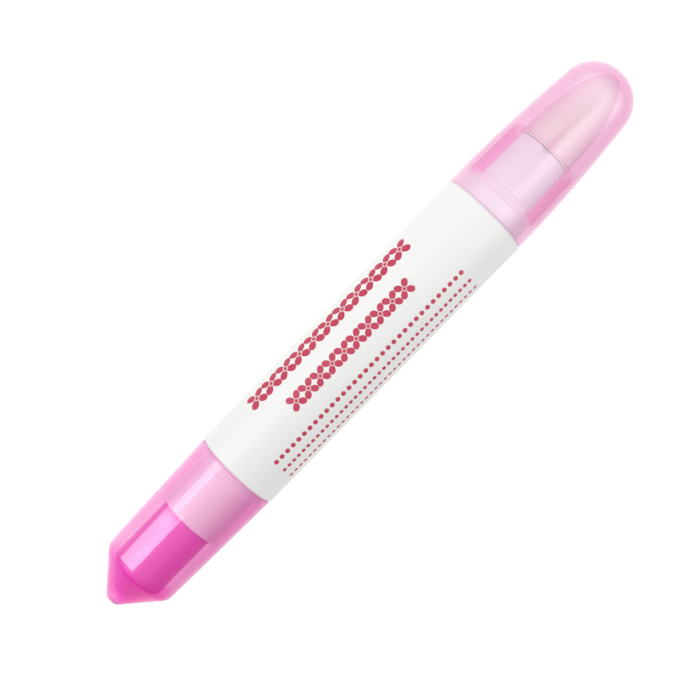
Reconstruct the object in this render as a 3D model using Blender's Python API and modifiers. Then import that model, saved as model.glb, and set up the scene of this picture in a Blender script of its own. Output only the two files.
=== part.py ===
"""Double-ended nail polish remover pen with a pull-off cap at each end and three spare nibs.

The pen is built standing along its own Z axis, rear tip down and front cap up, and an empty lays
it on its side: +X then points from the rear tip to the front cap, and the widest ring of the barrel
touches Z = 0. All lengths are in metres.
"""
import math

import bmesh
import bpy
from mathutils import Matrix, Vector

# Shared fits
FIT_GAP = 0.00025
SEAT_GAP = 0.00025
NIB_FIT_GAP = 0.0002
FILM_GAP = 0.0002
LIP_SET_IN = 0.00005
CUT_OVERRUN = 0.0005
MERGE_LIMIT = 0.000001
BEAD_HEIGHT = 0.00012
BEAD_WIDTH = 0.0009

# Barrel
BARREL_LENGTH = 0.0580
BARREL_REAR_RADIUS = 0.00755
BARREL_FLARE = 0.0004
BARREL_REAR_WALL = 0.00155
BARREL_EDGE_ROUND = 0.00025
BARREL_LEAD_IN = 0.0002
RIB_HEIGHT = 0.0007
RIB_WIDTH = 0.0009
RIB_COUNT = 6

# Front cap
FRONT_CAP_LENGTH = 0.0318
FRONT_CAP_SIDE_DROP = 0.0014
FRONT_CAP_DOME_DEPTH = 0.0061
FRONT_CAP_LIP_ROUND = 0.0002
FRONT_CAP_LIP_WALL = 0.0009
FRONT_CAP_STEP_WALL = 0.0010
FRONT_CAP_TIP_WALL = 0.0010
FRONT_CAP_SIDE_POWER = 1.9

# Liner inside the front cap
LINER_WALL = 0.0006

# Nib holder in the front of the barrel
HOLDER_FLANGE_LENGTH = 0.0028
HOLDER_CHAMFER_LENGTH = 0.00205
HOLDER_RING_SPACE = 0.0030
HOLDER_COLLAR_END = 0.0138
HOLDER_SHOULDER_ROUND = 0.00025
HOLDER_NOSE_LENGTH = 0.0015
HOLDER_NOSE_ROUND = 0.0004
HOLDER_PLUG_LENGTH = 0.0090
HOLDER_BEAD_DEPTHS = (0.0018, 0.0045)
HOLDER_WALL = 0.0012
SOCKET_WALL = 0.0009
WICK_STOP_LENGTH = 0.0012
VENT_NOTCH_WIDTH = 0.0023
VENT_NOTCH_DEPTH = 0.0008

# Nibs, one in use and three spare
NIB_LENGTH = 0.0113
NIB_SEATED_LENGTH = 0.0070
NIB_TAIL_CHAMFER = 0.0002
NIB_TIP_LENGTH = 0.0017
NIB_TIP_RADIUS = 0.0005
NIB_SLANT_DEPTH = 0.0015
NIB_SLANT_ANGLE = math.radians(38)

# Wick and reservoir
WICK_STOP_LAND = 0.00055
WICK_BURIED_LENGTH = 0.0060
FILM_WALL = 0.0002

# Rear cap
REAR_CAP_LENGTH = 0.0297
REAR_CAP_SIDE_DROP = 0.00065
REAR_CAP_CONE_LENGTH = 0.0066
REAR_CAP_TIP_RADIUS = 0.00125
REAR_CAP_SHOULDER_ROUND = 0.0025
REAR_CAP_TIP_ROUND = 0.0003
REAR_CAP_LIP_ROUND = 0.0002
REAR_CAP_LIP_WALL = 0.0008
REAR_CAP_STEP_WALL = 0.0009

# Cup inside the rear cap
CUP_NOSE_GAP = 0.00035
CUP_WALL = 0.00055
CUP_CONE_START = 0.0061
CUP_TIP_START = 0.0020
CUP_CONE_ROUND = 0.0006

# Rear plug, which carries the rear cap and the spare nibs
PLUG_FLANGE_LENGTH = 0.0015
PLUG_CHAMFER_LENGTH = 0.0006
PLUG_COLLAR_RISE = 0.0001
PLUG_COLLAR_END = 0.0112
PLUG_SHOULDER_ROUND = 0.0003
PLUG_NOSE_LENGTH = 0.0013
PLUG_NOSE_ROUND = 0.0011
PLUG_SKIRT_LENGTH = 0.0080
PLUG_BEAD_DEPTHS = (0.0054, 0.0027)
PLUG_WALL = 0.0011
PLUG_FLOOR = 0.0010
PLUG_RING_SPACE = 0.00071
PLUG_FIN_WIDTH = 0.0009
PLUG_FIN_COUNT = 4
SPARE_NIB_COUNT = 3
SPARE_SEATED_LENGTH = 0.0073
SPARE_SOCKET_WEB = 0.00045

# Facets round each turned piece, and steps in each rounded corner
BODY_FACETS = 36
INNER_FACETS = 32
NIB_FACETS = 16
SOCKET_FACETS = 16
CORNER_STEPS = 3
DOME_STEPS = 8
OGIVE_STEPS = 9
SIDE_STEPS = 5
SHARP_EDGE_ANGLE = math.radians(35)

# Radii that follow from the sizes above
BARREL_FRONT_RADIUS = BARREL_REAR_RADIUS + BARREL_FLARE
BARREL_BORE_RADIUS = BARREL_REAR_RADIUS - BARREL_REAR_WALL
FRONT_CAP_LIP_RADIUS = BARREL_FRONT_RADIUS - LIP_SET_IN
FRONT_CAP_DOME_RADIUS = FRONT_CAP_LIP_RADIUS - FRONT_CAP_SIDE_DROP
REAR_CAP_LIP_RADIUS = BARREL_REAR_RADIUS - LIP_SET_IN
REAR_CAP_SHOULDER_RADIUS = REAR_CAP_LIP_RADIUS - REAR_CAP_SIDE_DROP
SNAP_RADIUS = BARREL_BORE_RADIUS - FIT_GAP
FILM_RADIUS = BARREL_BORE_RADIUS - RIB_HEIGHT - FIT_GAP
RESERVOIR_RADIUS = FILM_RADIUS - FILM_WALL - FILM_GAP
HOLDER_COLLAR_RADIUS = FRONT_CAP_LIP_RADIUS - HOLDER_RING_SPACE
HOLDER_NOSE_RADIUS = HOLDER_COLLAR_RADIUS - LINER_WALL - FIT_GAP
PLUG_COLLAR_RADIUS = SNAP_RADIUS + PLUG_COLLAR_RISE
PLUG_SKIRT_BORE_RADIUS = SNAP_RADIUS - PLUG_WALL
PLUG_NOSE_RADIUS = PLUG_SKIRT_BORE_RADIUS - PLUG_RING_SPACE
CUP_RADIUS = PLUG_NOSE_RADIUS + CUP_NOSE_GAP + CUP_WALL

# The sockets fill the plug's nose: each touches its neighbours and the rim but for one web
SPARE_PITCH_RATIO = 1 / math.sin(math.pi / SPARE_NIB_COUNT)
NIB_SOCKET_RADIUS = ((PLUG_NOSE_RADIUS - SPARE_SOCKET_WEB * (1 + SPARE_PITCH_RATIO / 2))
                     / (1 + SPARE_PITCH_RATIO))
SPARE_NIB_PITCH = (NIB_SOCKET_RADIUS + SPARE_SOCKET_WEB / 2) * SPARE_PITCH_RATIO
NIB_RADIUS = NIB_SOCKET_RADIUS - NIB_FIT_GAP
WICK_RADIUS = NIB_RADIUS - WICK_STOP_LAND

# Stations along the pen, from the rear tip at -overall / 2 to the front tip
OVERALL_LENGTH = REAR_CAP_LENGTH + SEAT_GAP + BARREL_LENGTH + SEAT_GAP + FRONT_CAP_LENGTH
REAR_TIP_Z = -OVERALL_LENGTH / 2
REAR_LIP_Z = REAR_TIP_Z + REAR_CAP_LENGTH
BARREL_REAR_Z = REAR_LIP_Z + SEAT_GAP
BARREL_FRONT_Z = BARREL_REAR_Z + BARREL_LENGTH
FRONT_LIP_Z = BARREL_FRONT_Z + SEAT_GAP
FRONT_TIP_Z = FRONT_LIP_Z + FRONT_CAP_LENGTH
HOLDER_SHOULDER_Z = FRONT_LIP_Z + HOLDER_COLLAR_END
HOLDER_NOSE_Z = HOLDER_SHOULDER_Z + HOLDER_NOSE_LENGTH
HOLDER_PLUG_Z = BARREL_FRONT_Z - HOLDER_PLUG_LENGTH
NIB_TAIL_Z = HOLDER_NOSE_Z - NIB_SEATED_LENGTH
WICK_STOP_Z = NIB_TAIL_Z - NIB_FIT_GAP
LINER_MOUTH_Z = HOLDER_SHOULDER_Z + SEAT_GAP
LINER_TIP_Z = FRONT_TIP_Z - FRONT_CAP_TIP_WALL - FIT_GAP
PLUG_SHOULDER_Z = REAR_LIP_Z - PLUG_COLLAR_END
PLUG_NOSE_Z = PLUG_SHOULDER_Z - PLUG_NOSE_LENGTH
PLUG_SKIRT_Z = BARREL_REAR_Z + PLUG_SKIRT_LENGTH
CUP_MOUTH_Z = PLUG_SHOULDER_Z - SEAT_GAP
RESERVOIR_REAR_Z = PLUG_SKIRT_Z + SEAT_GAP
RESERVOIR_FRONT_Z = HOLDER_PLUG_Z - SEAT_GAP


def make_collection(name):
    """Add a collection to the scene."""
    collection = bpy.data.collections.new(name)
    bpy.context.scene.collection.children.link(collection)
    return collection


def make_material(name, colour, roughness, alpha=1.0, transmission=0.0):
    """Add a Principled material in a plain colour."""
    material = bpy.data.materials.new(name)
    material.use_nodes = True
    shader = material.node_tree.nodes["Principled BSDF"]
    shader.inputs["Base Color"].default_value = (*colour, 1.0)
    shader.inputs["Roughness"].default_value = roughness
    shader.inputs["Metallic"].default_value = 0.0
    shader.inputs["Alpha"].default_value = alpha
    shader.inputs["Transmission Weight"].default_value = transmission
    return material


def corner_points(before, corner, after, radius, steps=CORNER_STEPS):
    """Round one corner of an outline with an arc of the given radius."""
    corner = Vector(corner)
    inward = (Vector(before) - corner).normalized()
    outward = (Vector(after) - corner).normalized()
    half_angle = inward.angle(outward) / 2
    reach = radius / math.tan(half_angle)
    centre = corner + (inward + outward).normalized() * (radius / math.sin(half_angle))
    start = corner + inward * reach - centre
    end = corner + outward * reach - centre
    sweep = start.angle_signed(end)
    return [centre + Matrix.Rotation(-sweep * step / steps, 2) @ start for step in range(steps + 1)]


def outline(corners):
    """Turn a list of (radius, z) or (radius, z, rounding) corners into outline points."""
    count = len(corners)
    points = []
    for index, corner in enumerate(corners):
        if len(corner) == 2:
            points.append(Vector(corner))
            continue
        before = corners[index - 1][:2]
        after = corners[(index + 1) % count][:2]
        points.extend(corner_points(before, corner[:2], after, corner[2]))
    return points


def bead(radius, top_z):
    """Corners of a low snap bead, going down."""
    return [
        (radius, top_z),
        (radius + BEAD_HEIGHT, top_z - BEAD_WIDTH / 3),
        (radius + BEAD_HEIGHT, top_z - BEAD_WIDTH * 2 / 3),
        (radius, top_z - BEAD_WIDTH),
    ]


def link_piece(name, mesh, material, parent):
    """Add one piece to the pen, hung from the given parent."""
    piece = bpy.data.objects.new(name, mesh)
    pen_pieces.objects.link(piece)
    piece.parent = parent
    mesh.materials.append(material)
    return piece


def turned(name, points, facets, material, parent, closed=True):
    """Turn an outline, given as radius and pen Z, about the pen's axis."""
    mesh = bpy.data.meshes.new(name)
    count = len(points)
    edges = [(index, index + 1) for index in range(count - 1)]
    if closed:
        edges.append((count - 1, 0))
    mesh.from_pydata([(point[0], 0, point[1]) for point in points], edges, [])
    piece = link_piece(name, mesh, material, parent)
    add_screw(piece, facets)
    return piece


def add_screw(piece, facets):
    """Give a profile a full turn about its Z axis."""
    screw = piece.modifiers.new("turn", "SCREW")
    screw.axis = "Z"
    screw.angle = math.tau
    screw.steps = facets
    screw.render_steps = facets
    screw.use_merge_vertices = True
    screw.merge_threshold = MERGE_LIMIT
    screw.use_smooth_shade = True


def harden(piece):
    """Make the piece a plain mesh, smooth but for its sharp edges."""
    depsgraph = bpy.context.evaluated_depsgraph_get()
    mesh = bpy.data.meshes.new_from_object(piece.evaluated_get(depsgraph))
    mesh.name = piece.name
    piece.modifiers.clear()
    piece.data = mesh
    mesh.shade_smooth()
    mesh.set_sharp_from_angle(angle=SHARP_EDGE_ANGLE)


def make_cutter(name, mesh, parent):
    """Add a shape that only cuts or joins others."""
    cutter = bpy.data.objects.new(name, mesh)
    tools.objects.link(cutter)
    cutter.parent = parent
    cutter.hide_render = True
    cutter.display_type = "WIRE"
    return cutter


def add_boolean(piece, cutter, operation):
    """Cut the piece with the cutter, or join them."""
    modifier = piece.modifiers.new(cutter.name, "BOOLEAN")
    modifier.object = cutter
    modifier.operation = operation
    modifier.solver = "EXACT"


def box_mesh(name, size, centre):
    """A box of the given size round the given centre."""
    shape = bmesh.new()
    bmesh.ops.create_cube(shape, size=1)
    bmesh.ops.scale(shape, vec=size, verts=shape.verts)
    bmesh.ops.translate(shape, vec=centre, verts=shape.verts)
    mesh = bpy.data.meshes.new(name)
    shape.to_mesh(mesh)
    shape.free()
    return mesh


def rod_mesh(name, radius, low_z, high_z, centre_x, facets):
    """A plain round rod between two heights."""
    shape = bmesh.new()
    bmesh.ops.create_cone(shape, cap_ends=True, segments=facets, radius1=radius, radius2=radius,
                          depth=high_z - low_z)
    bmesh.ops.translate(shape, vec=(centre_x, 0, (low_z + high_z) / 2), verts=shape.verts)
    mesh = bpy.data.meshes.new(name)
    shape.to_mesh(mesh)
    shape.free()
    return mesh


def wedge_mesh(name, width, depth, low_x, high_x, top_z):
    """A V-shaped prism lying along X, with its edge pointing down."""
    side = width / 2
    rise = CUT_OVERRUN
    corners = [(-side, top_z + rise), (-side, top_z), (0, top_z - depth), (side, top_z),
               (side, top_z + rise)]
    count = len(corners)
    points = [(x, y, z) for x in (low_x, high_x) for y, z in corners]
    faces = [list(range(count)), list(range(2 * count - 1, count - 1, -1))]
    for index in range(count):
        following = (index + 1) % count
        faces.append([following, index, index + count, following + count])
    mesh = bpy.data.meshes.new(name)
    mesh.from_pydata(points, [], faces)
    shape = bmesh.new()
    shape.from_mesh(mesh)
    bmesh.ops.recalc_face_normals(shape, faces=shape.faces)
    shape.to_mesh(mesh)
    shape.free()
    return mesh


def ogive_points(mouth_radius, mouth_z, tip_z, steps=OGIVE_STEPS):
    """Points of a half ellipse from the axis at the tip down to the mouth."""
    depth = tip_z - mouth_z
    angles = [math.pi / 2 * step / steps for step in range(steps + 1)]
    return [Vector((mouth_radius * math.sin(angle), mouth_z + depth * math.cos(angle)))
            for angle in angles]


def build_barrel(parent, material):
    """White tube with six ribs in its bore, which centre the reservoir and let air pass it."""
    bore_lead = BARREL_BORE_RADIUS + BARREL_LEAD_IN
    piece = turned("barrel", outline([
        (bore_lead, BARREL_FRONT_Z),
        (BARREL_FRONT_RADIUS, BARREL_FRONT_Z, BARREL_EDGE_ROUND),
        (BARREL_REAR_RADIUS, BARREL_REAR_Z, BARREL_EDGE_ROUND),
        (bore_lead, BARREL_REAR_Z),
        (BARREL_BORE_RADIUS, BARREL_REAR_Z + BARREL_LEAD_IN),
        (BARREL_BORE_RADIUS, BARREL_FRONT_Z - BARREL_LEAD_IN),
    ]), BODY_FACETS, material, parent)
    inner_x = BARREL_BORE_RADIUS - RIB_HEIGHT
    outer_x = BARREL_BORE_RADIUS + CUT_OVERRUN
    rib_size = (outer_x - inner_x, RIB_WIDTH, RESERVOIR_FRONT_Z - RESERVOIR_REAR_Z)
    rib_centre = ((outer_x + inner_x) / 2, 0, (RESERVOIR_FRONT_Z + RESERVOIR_REAR_Z) / 2)
    for index in range(RIB_COUNT):
        name = f"barrel_rib_{index + 1}"
        rib = make_cutter(name, box_mesh(name, rib_size, rib_centre), parent)
        rib.rotation_euler.z = math.tau * (index + 1 / 2) / RIB_COUNT
        add_boolean(piece, rib, "UNION")
    return piece


def front_cap_outer():
    """Outside of the front cap, from its tip down to its lip."""
    side_length = FRONT_CAP_LENGTH - FRONT_CAP_DOME_DEPTH
    side_drop = FRONT_CAP_LIP_RADIUS - FRONT_CAP_DOME_RADIUS
    slope = FRONT_CAP_SIDE_POWER * side_drop / side_length
    blend = math.atan(slope * FRONT_CAP_DOME_DEPTH / FRONT_CAP_DOME_RADIUS)
    base_z = FRONT_TIP_Z - FRONT_CAP_DOME_DEPTH
    points = []
    for step in range(DOME_STEPS + 1):
        angle = math.pi / 2 - (math.pi / 2 - blend) * step / DOME_STEPS
        points.append(Vector((FRONT_CAP_DOME_RADIUS * math.cos(angle),
                              base_z + FRONT_CAP_DOME_DEPTH * math.sin(angle))))
    points[0].x = 0
    start = points[-1]
    drop = FRONT_CAP_LIP_RADIUS - start.x
    length = start.y - FRONT_LIP_Z
    for step in range(1, SIDE_STEPS + 1):
        share = 1 - step / SIDE_STEPS
        points.append(Vector((FRONT_CAP_LIP_RADIUS - drop * share ** FRONT_CAP_SIDE_POWER,
                              FRONT_LIP_Z + length * share)))
    return points


def side_radius(points, pen_z):
    """Radius of an outline, read at a height between its points."""
    for upper, lower in zip(points, points[1:]):
        if lower.y <= pen_z <= upper.y:
            share = (pen_z - lower.y) / (upper.y - lower.y)
            return lower.x + (upper.x - lower.x) * share
    return points[-1].x


def front_bore_radius(pen_z):
    """Radius of the front cap's wide bore, which narrows from its lip to its step."""
    lip_bore = FRONT_CAP_LIP_RADIUS - FRONT_CAP_LIP_WALL
    step_bore = side_radius(front_cap_outer(), LINER_MOUTH_Z) - FRONT_CAP_STEP_WALL
    share = (pen_z - FRONT_LIP_Z) / (LINER_MOUTH_Z - FRONT_LIP_Z)
    return lip_bore + (step_bore - lip_bore) * share


def build_front_cap(parent, material):
    """Domed cap: a wide bore round the holder, then a step and the seat of the liner."""
    outer = front_cap_outer()
    seat = ogive_points(HOLDER_COLLAR_RADIUS + FIT_GAP, LINER_MOUTH_Z, LINER_TIP_Z + FIT_GAP)
    points = outline([
        *outer[:-1],
        (FRONT_CAP_LIP_RADIUS, FRONT_LIP_Z, FRONT_CAP_LIP_ROUND),
        (front_bore_radius(FRONT_LIP_Z), FRONT_LIP_Z, FRONT_CAP_LIP_ROUND),
        (front_bore_radius(LINER_MOUTH_Z), LINER_MOUTH_Z),
        *reversed(seat),
    ])
    return turned("front_cap", points, BODY_FACETS, material, parent, closed=False)


def build_liner(parent, material):
    """Thin ogive cup that closes over the nib and seals on the holder's nose."""
    outer = ogive_points(HOLDER_COLLAR_RADIUS, LINER_MOUTH_Z, LINER_TIP_Z)
    inner = ogive_points(HOLDER_COLLAR_RADIUS - LINER_WALL, LINER_MOUTH_Z, LINER_TIP_Z - LINER_WALL)
    points = [*outer, *reversed(inner)]
    return turned("front_cap_liner", points, BODY_FACETS, material, parent, closed=False)


def build_holder(parent, material):
    """Hollow front moulding: nose, collar, flange and a snap plug, with the nib socket inside.

    A V-shaped vent notch crosses the collar's shoulder on the upper side of the lying pen.
    """
    flange_z = FRONT_LIP_Z + HOLDER_FLANGE_LENGTH
    flange_radius = front_bore_radius(flange_z) - FIT_GAP
    collar_z = flange_z + HOLDER_CHAMFER_LENGTH
    web_z = HOLDER_SHOULDER_Z - HOLDER_WALL
    stop_hole = WICK_RADIUS + FIT_GAP
    tube_end_z = WICK_STOP_Z - WICK_STOP_LENGTH
    inner_plug = SNAP_RADIUS - HOLDER_WALL
    inner_collar = HOLDER_COLLAR_RADIUS - HOLDER_WALL
    tube_radius = NIB_SOCKET_RADIUS + SOCKET_WALL
    beads = []
    for depth in HOLDER_BEAD_DEPTHS:
        beads += bead(SNAP_RADIUS, BARREL_FRONT_Z - depth)
    points = outline([
        (NIB_SOCKET_RADIUS, HOLDER_NOSE_Z),
        (HOLDER_NOSE_RADIUS, HOLDER_NOSE_Z, HOLDER_NOSE_ROUND),
        (HOLDER_NOSE_RADIUS, HOLDER_SHOULDER_Z),
        (HOLDER_COLLAR_RADIUS, HOLDER_SHOULDER_Z, HOLDER_SHOULDER_ROUND),
        (HOLDER_COLLAR_RADIUS, collar_z),
        (flange_radius, flange_z),
        (flange_radius, BARREL_FRONT_Z + SEAT_GAP),
        (SNAP_RADIUS, BARREL_FRONT_Z + SEAT_GAP),
        *beads,
        (SNAP_RADIUS, HOLDER_PLUG_Z + BEAD_WIDTH),
        (SNAP_RADIUS - BEAD_WIDTH / 2, HOLDER_PLUG_Z),
        (inner_plug, HOLDER_PLUG_Z),
        (inner_plug, flange_z - HOLDER_WALL),
        (inner_collar, collar_z),
        (inner_collar, web_z),
        (tube_radius, web_z),
        (tube_radius, tube_end_z),
        (stop_hole, tube_end_z),
        (stop_hole, WICK_STOP_Z),
        (NIB_SOCKET_RADIUS, WICK_STOP_Z),
    ])
    piece = turned("nib_holder", points, BODY_FACETS, material, parent)
    mesh = wedge_mesh("vent_notch", VENT_NOTCH_WIDTH, VENT_NOTCH_DEPTH,
                      -HOLDER_COLLAR_RADIUS - CUT_OVERRUN, -HOLDER_NOSE_RADIUS - FIT_GAP,
                      HOLDER_SHOULDER_Z)
    add_boolean(piece, make_cutter("vent_notch", mesh, parent), "DIFFERENCE")
    return piece


def nib_mesh(name):
    """Felt rod with a rounded, slanted tip; its tail is at the origin and its tip points up."""
    profile = outline([
        (0, NIB_LENGTH),
        (NIB_TIP_RADIUS, NIB_LENGTH),
        (NIB_RADIUS, NIB_LENGTH - NIB_TIP_LENGTH),
        (NIB_RADIUS, NIB_TAIL_CHAMFER),
        (NIB_RADIUS - NIB_TAIL_CHAMFER, 0),
        (0, 0),
    ])
    mesh = bpy.data.meshes.new(name)
    edges = [(index, index + 1) for index in range(len(profile) - 1)]
    mesh.from_pydata([(point.x, 0, point.y) for point in profile], edges, [])
    return mesh


def build_nib(name, parent, material):
    """One nib, with a slanted face cut across its tip."""
    piece = link_piece(name, nib_mesh(name), material, parent)
    add_screw(piece, NIB_FACETS)
    side = 4 * NIB_RADIUS
    mesh = box_mesh(f"{name}_slant", (side, side, side), (0, 0, side / 2))
    cutter = make_cutter(f"{name}_slant", mesh, piece)
    cutter.rotation_euler.y = NIB_SLANT_ANGLE
    cutter.location = (NIB_RADIUS, 0, NIB_LENGTH - NIB_SLANT_DEPTH)
    add_boolean(piece, cutter, "DIFFERENCE")
    return piece


def build_wick(parent, material):
    """Thin rod from the nib's tail into the reservoir."""
    low_z = RESERVOIR_FRONT_Z - WICK_BURIED_LENGTH
    high_z = NIB_TAIL_Z - FIT_GAP
    mesh = rod_mesh("transfer_wick", WICK_RADIUS, low_z, high_z, 0, NIB_FACETS)
    return link_piece("transfer_wick", mesh, material, parent)


def build_reservoir(parent, material):
    """Fibre wadding, bored at the front for the wick."""
    bore = WICK_RADIUS + FIT_GAP
    bore_end_z = RESERVOIR_FRONT_Z - WICK_BURIED_LENGTH - FIT_GAP
    points = outline([
        (0, bore_end_z),
        (bore, bore_end_z),
        (bore, RESERVOIR_FRONT_Z),
        (RESERVOIR_RADIUS, RESERVOIR_FRONT_Z),
        (RESERVOIR_RADIUS, RESERVOIR_REAR_Z),
        (0, RESERVOIR_REAR_Z),
    ])
    return turned("reservoir", points, INNER_FACETS, material, parent, closed=False)


def build_film(parent, material):
    """Thin sleeve round the wadding, a little shorter than it."""
    inner = FILM_RADIUS - FILM_WALL
    low_z = RESERVOIR_REAR_Z + FILM_GAP
    high_z = RESERVOIR_FRONT_Z - FILM_GAP
    points = outline([(inner, high_z), (FILM_RADIUS, high_z), (FILM_RADIUS, low_z), (inner, low_z)])
    return turned("reservoir_film", points, INNER_FACETS, material, parent)


def rear_bore_radius(pen_z):
    """Radius of the rear cap's wide bore, which narrows from its lip to its step."""
    side_length = REAR_CAP_LENGTH - REAR_CAP_CONE_LENGTH
    step_share = (REAR_LIP_Z - CUP_MOUTH_Z) / side_length
    step_outer = REAR_CAP_LIP_RADIUS + (REAR_CAP_SHOULDER_RADIUS - REAR_CAP_LIP_RADIUS) * step_share
    lip_bore = REAR_CAP_LIP_RADIUS - REAR_CAP_LIP_WALL
    step_bore = step_outer - REAR_CAP_STEP_WALL
    share = (REAR_LIP_Z - pen_z) / (REAR_LIP_Z - CUP_MOUTH_Z)
    return lip_bore + (step_bore - lip_bore) * share


def cup_corners(offset):
    """Mouth radius, cone start, tip radius and tip height of the cup's outside, moved outward.

    The cup's cone runs along the outside cone of the cap.
    """
    slope = (REAR_CAP_SHOULDER_RADIUS - REAR_CAP_TIP_RADIUS) / REAR_CAP_CONE_LENGTH
    radius = CUP_RADIUS + offset
    cone_z = REAR_TIP_Z + CUP_CONE_START - offset * (math.hypot(1, slope) - 1) / slope
    tip_z = REAR_TIP_Z + CUP_TIP_START - offset
    tip_radius = radius - (cone_z - tip_z) * slope
    return radius, cone_z, tip_radius, tip_z


def build_rear_cap(parent, material):
    """Pointed cap: a wide bore round the plug, then a step and the conical seat of the cup."""
    seat_radius, cone_z, seat_tip_radius, tip_z = cup_corners(FIT_GAP)
    points = outline([
        (0, tip_z),
        (seat_tip_radius, tip_z),
        (seat_radius, cone_z, CUP_CONE_ROUND),
        (seat_radius, CUP_MOUTH_Z),
        (rear_bore_radius(CUP_MOUTH_Z), CUP_MOUTH_Z),
        (rear_bore_radius(REAR_LIP_Z), REAR_LIP_Z, REAR_CAP_LIP_ROUND),
        (REAR_CAP_LIP_RADIUS, REAR_LIP_Z, REAR_CAP_LIP_ROUND),
        (REAR_CAP_SHOULDER_RADIUS, REAR_TIP_Z + REAR_CAP_CONE_LENGTH, REAR_CAP_SHOULDER_ROUND),
        (REAR_CAP_TIP_RADIUS, REAR_TIP_Z, REAR_CAP_TIP_ROUND),
        (0, REAR_TIP_Z),
    ])
    return turned("rear_cap", points, BODY_FACETS, material, parent, closed=False)


def build_cup(parent, material):
    """Deep pink cup pressed into the rear cap, closed by the plug's nose over the spare nibs."""
    radius, cone_z, tip_radius, tip_z = cup_corners(0)
    inner_radius, inner_cone_z, inner_tip_radius, inner_tip_z = cup_corners(-CUP_WALL)
    points = outline([
        (0, inner_tip_z),
        (inner_tip_radius, inner_tip_z),
        (inner_radius, inner_cone_z, CUP_CONE_ROUND),
        (inner_radius, CUP_MOUTH_Z),
        (radius, CUP_MOUTH_Z),
        (radius, cone_z, CUP_CONE_ROUND),
        (tip_radius, tip_z),
        (0, tip_z),
    ])
    return turned("rear_cap_cup", points, BODY_FACETS, material, parent, closed=False)


def build_plug(parent, material):
    """Rear moulding: snap skirt in the barrel, flange, collar and a nose with three nib sockets."""
    flange_z = REAR_LIP_Z - PLUG_FLANGE_LENGTH
    flange_radius = rear_bore_radius(flange_z) - FIT_GAP
    collar_z = flange_z - PLUG_CHAMFER_LENGTH
    socket_end_z = PLUG_NOSE_Z + SPARE_SEATED_LENGTH + NIB_FIT_GAP
    floor_z = socket_end_z + PLUG_FLOOR
    web_z = PLUG_SHOULDER_Z + PLUG_WALL
    beads = []
    for depth in PLUG_BEAD_DEPTHS:
        beads += bead(SNAP_RADIUS, BARREL_REAR_Z + depth)
    points = outline([
        (0, floor_z),
        (PLUG_NOSE_RADIUS, floor_z),
        (PLUG_NOSE_RADIUS, web_z),
        (PLUG_SKIRT_BORE_RADIUS, web_z),
        (PLUG_SKIRT_BORE_RADIUS, PLUG_SKIRT_Z),
        (SNAP_RADIUS - BEAD_WIDTH / 2, PLUG_SKIRT_Z),
        (SNAP_RADIUS, PLUG_SKIRT_Z - BEAD_WIDTH),
        *beads,
        (SNAP_RADIUS, BARREL_REAR_Z - SEAT_GAP),
        (flange_radius, BARREL_REAR_Z - SEAT_GAP),
        (flange_radius, flange_z),
        (PLUG_COLLAR_RADIUS, collar_z),
        (PLUG_COLLAR_RADIUS, PLUG_SHOULDER_Z, PLUG_SHOULDER_ROUND),
        (PLUG_NOSE_RADIUS, PLUG_SHOULDER_Z),
        (PLUG_NOSE_RADIUS, PLUG_NOSE_Z, PLUG_NOSE_ROUND),
        (0, PLUG_NOSE_Z),
    ])
    piece = turned("rear_plug", points, BODY_FACETS, material, parent, closed=False)
    fin_high_z = PLUG_SKIRT_Z - FIT_GAP
    fin_low_z = floor_z - CUT_OVERRUN
    fin_size = (2 * PLUG_SKIRT_BORE_RADIUS + PLUG_WALL, PLUG_FIN_WIDTH, fin_high_z - fin_low_z)
    for index in range(PLUG_FIN_COUNT // 2):
        name = f"plug_fin_{index + 1}"
        mesh = box_mesh(name, fin_size, (0, 0, (fin_high_z + fin_low_z) / 2))
        fin = make_cutter(name, mesh, parent)
        fin.rotation_euler.z = math.tau * (index + 1 / 2) / PLUG_FIN_COUNT
        add_boolean(piece, fin, "UNION")
    for index in range(SPARE_NIB_COUNT):
        name = f"nib_socket_{index + 1}"
        mesh = rod_mesh(name, NIB_SOCKET_RADIUS, PLUG_NOSE_Z - CUT_OVERRUN, socket_end_z,
                        SPARE_NIB_PITCH, SOCKET_FACETS)
        socket = make_cutter(name, mesh, parent)
        socket.rotation_euler.z = math.tau * index / SPARE_NIB_COUNT
        add_boolean(piece, socket, "DIFFERENCE")
    return piece


for old_object in list(bpy.data.objects):
    bpy.data.objects.remove(old_object, do_unlink=True)

pen_pieces = make_collection("nail_polish_remover_pen")
tools = make_collection("cutters")

white = make_material("barrel_white", (0.86, 0.86, 0.85), 0.35)
pale_pink = make_material("front_cap_pink", (0.90, 0.45, 0.68), 0.18, 0.45, 0.6)
liner_cream = make_material("liner_cream", (0.92, 0.72, 0.76), 0.40)
lilac = make_material("holder_lilac", (0.88, 0.72, 0.86), 0.35)
pink = make_material("rear_cap_pink", (0.86, 0.35, 0.62), 0.15, 0.45, 0.6)
magenta = make_material("cup_magenta", (0.72, 0.05, 0.38), 0.25)
pale_plug = make_material("plug_pale_pink", (0.88, 0.70, 0.80), 0.35)
felt = make_material("nib_felt", (0.88, 0.86, 0.82), 0.95)
wadding = make_material("reservoir_fibre", (0.86, 0.78, 0.82), 0.95)
film = make_material("reservoir_film", (0.90, 0.90, 0.92), 0.20, 0.35)
wick_fibre = make_material("wick_fibre", (0.84, 0.82, 0.80), 0.95)

pen_axis = bpy.data.objects.new("pen_axis", None)
pen_pieces.objects.link(pen_axis)
pen_axis.location = (0, 0, BARREL_FRONT_RADIUS)
pen_axis.rotation_euler = (0, math.pi / 2, 0)

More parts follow.
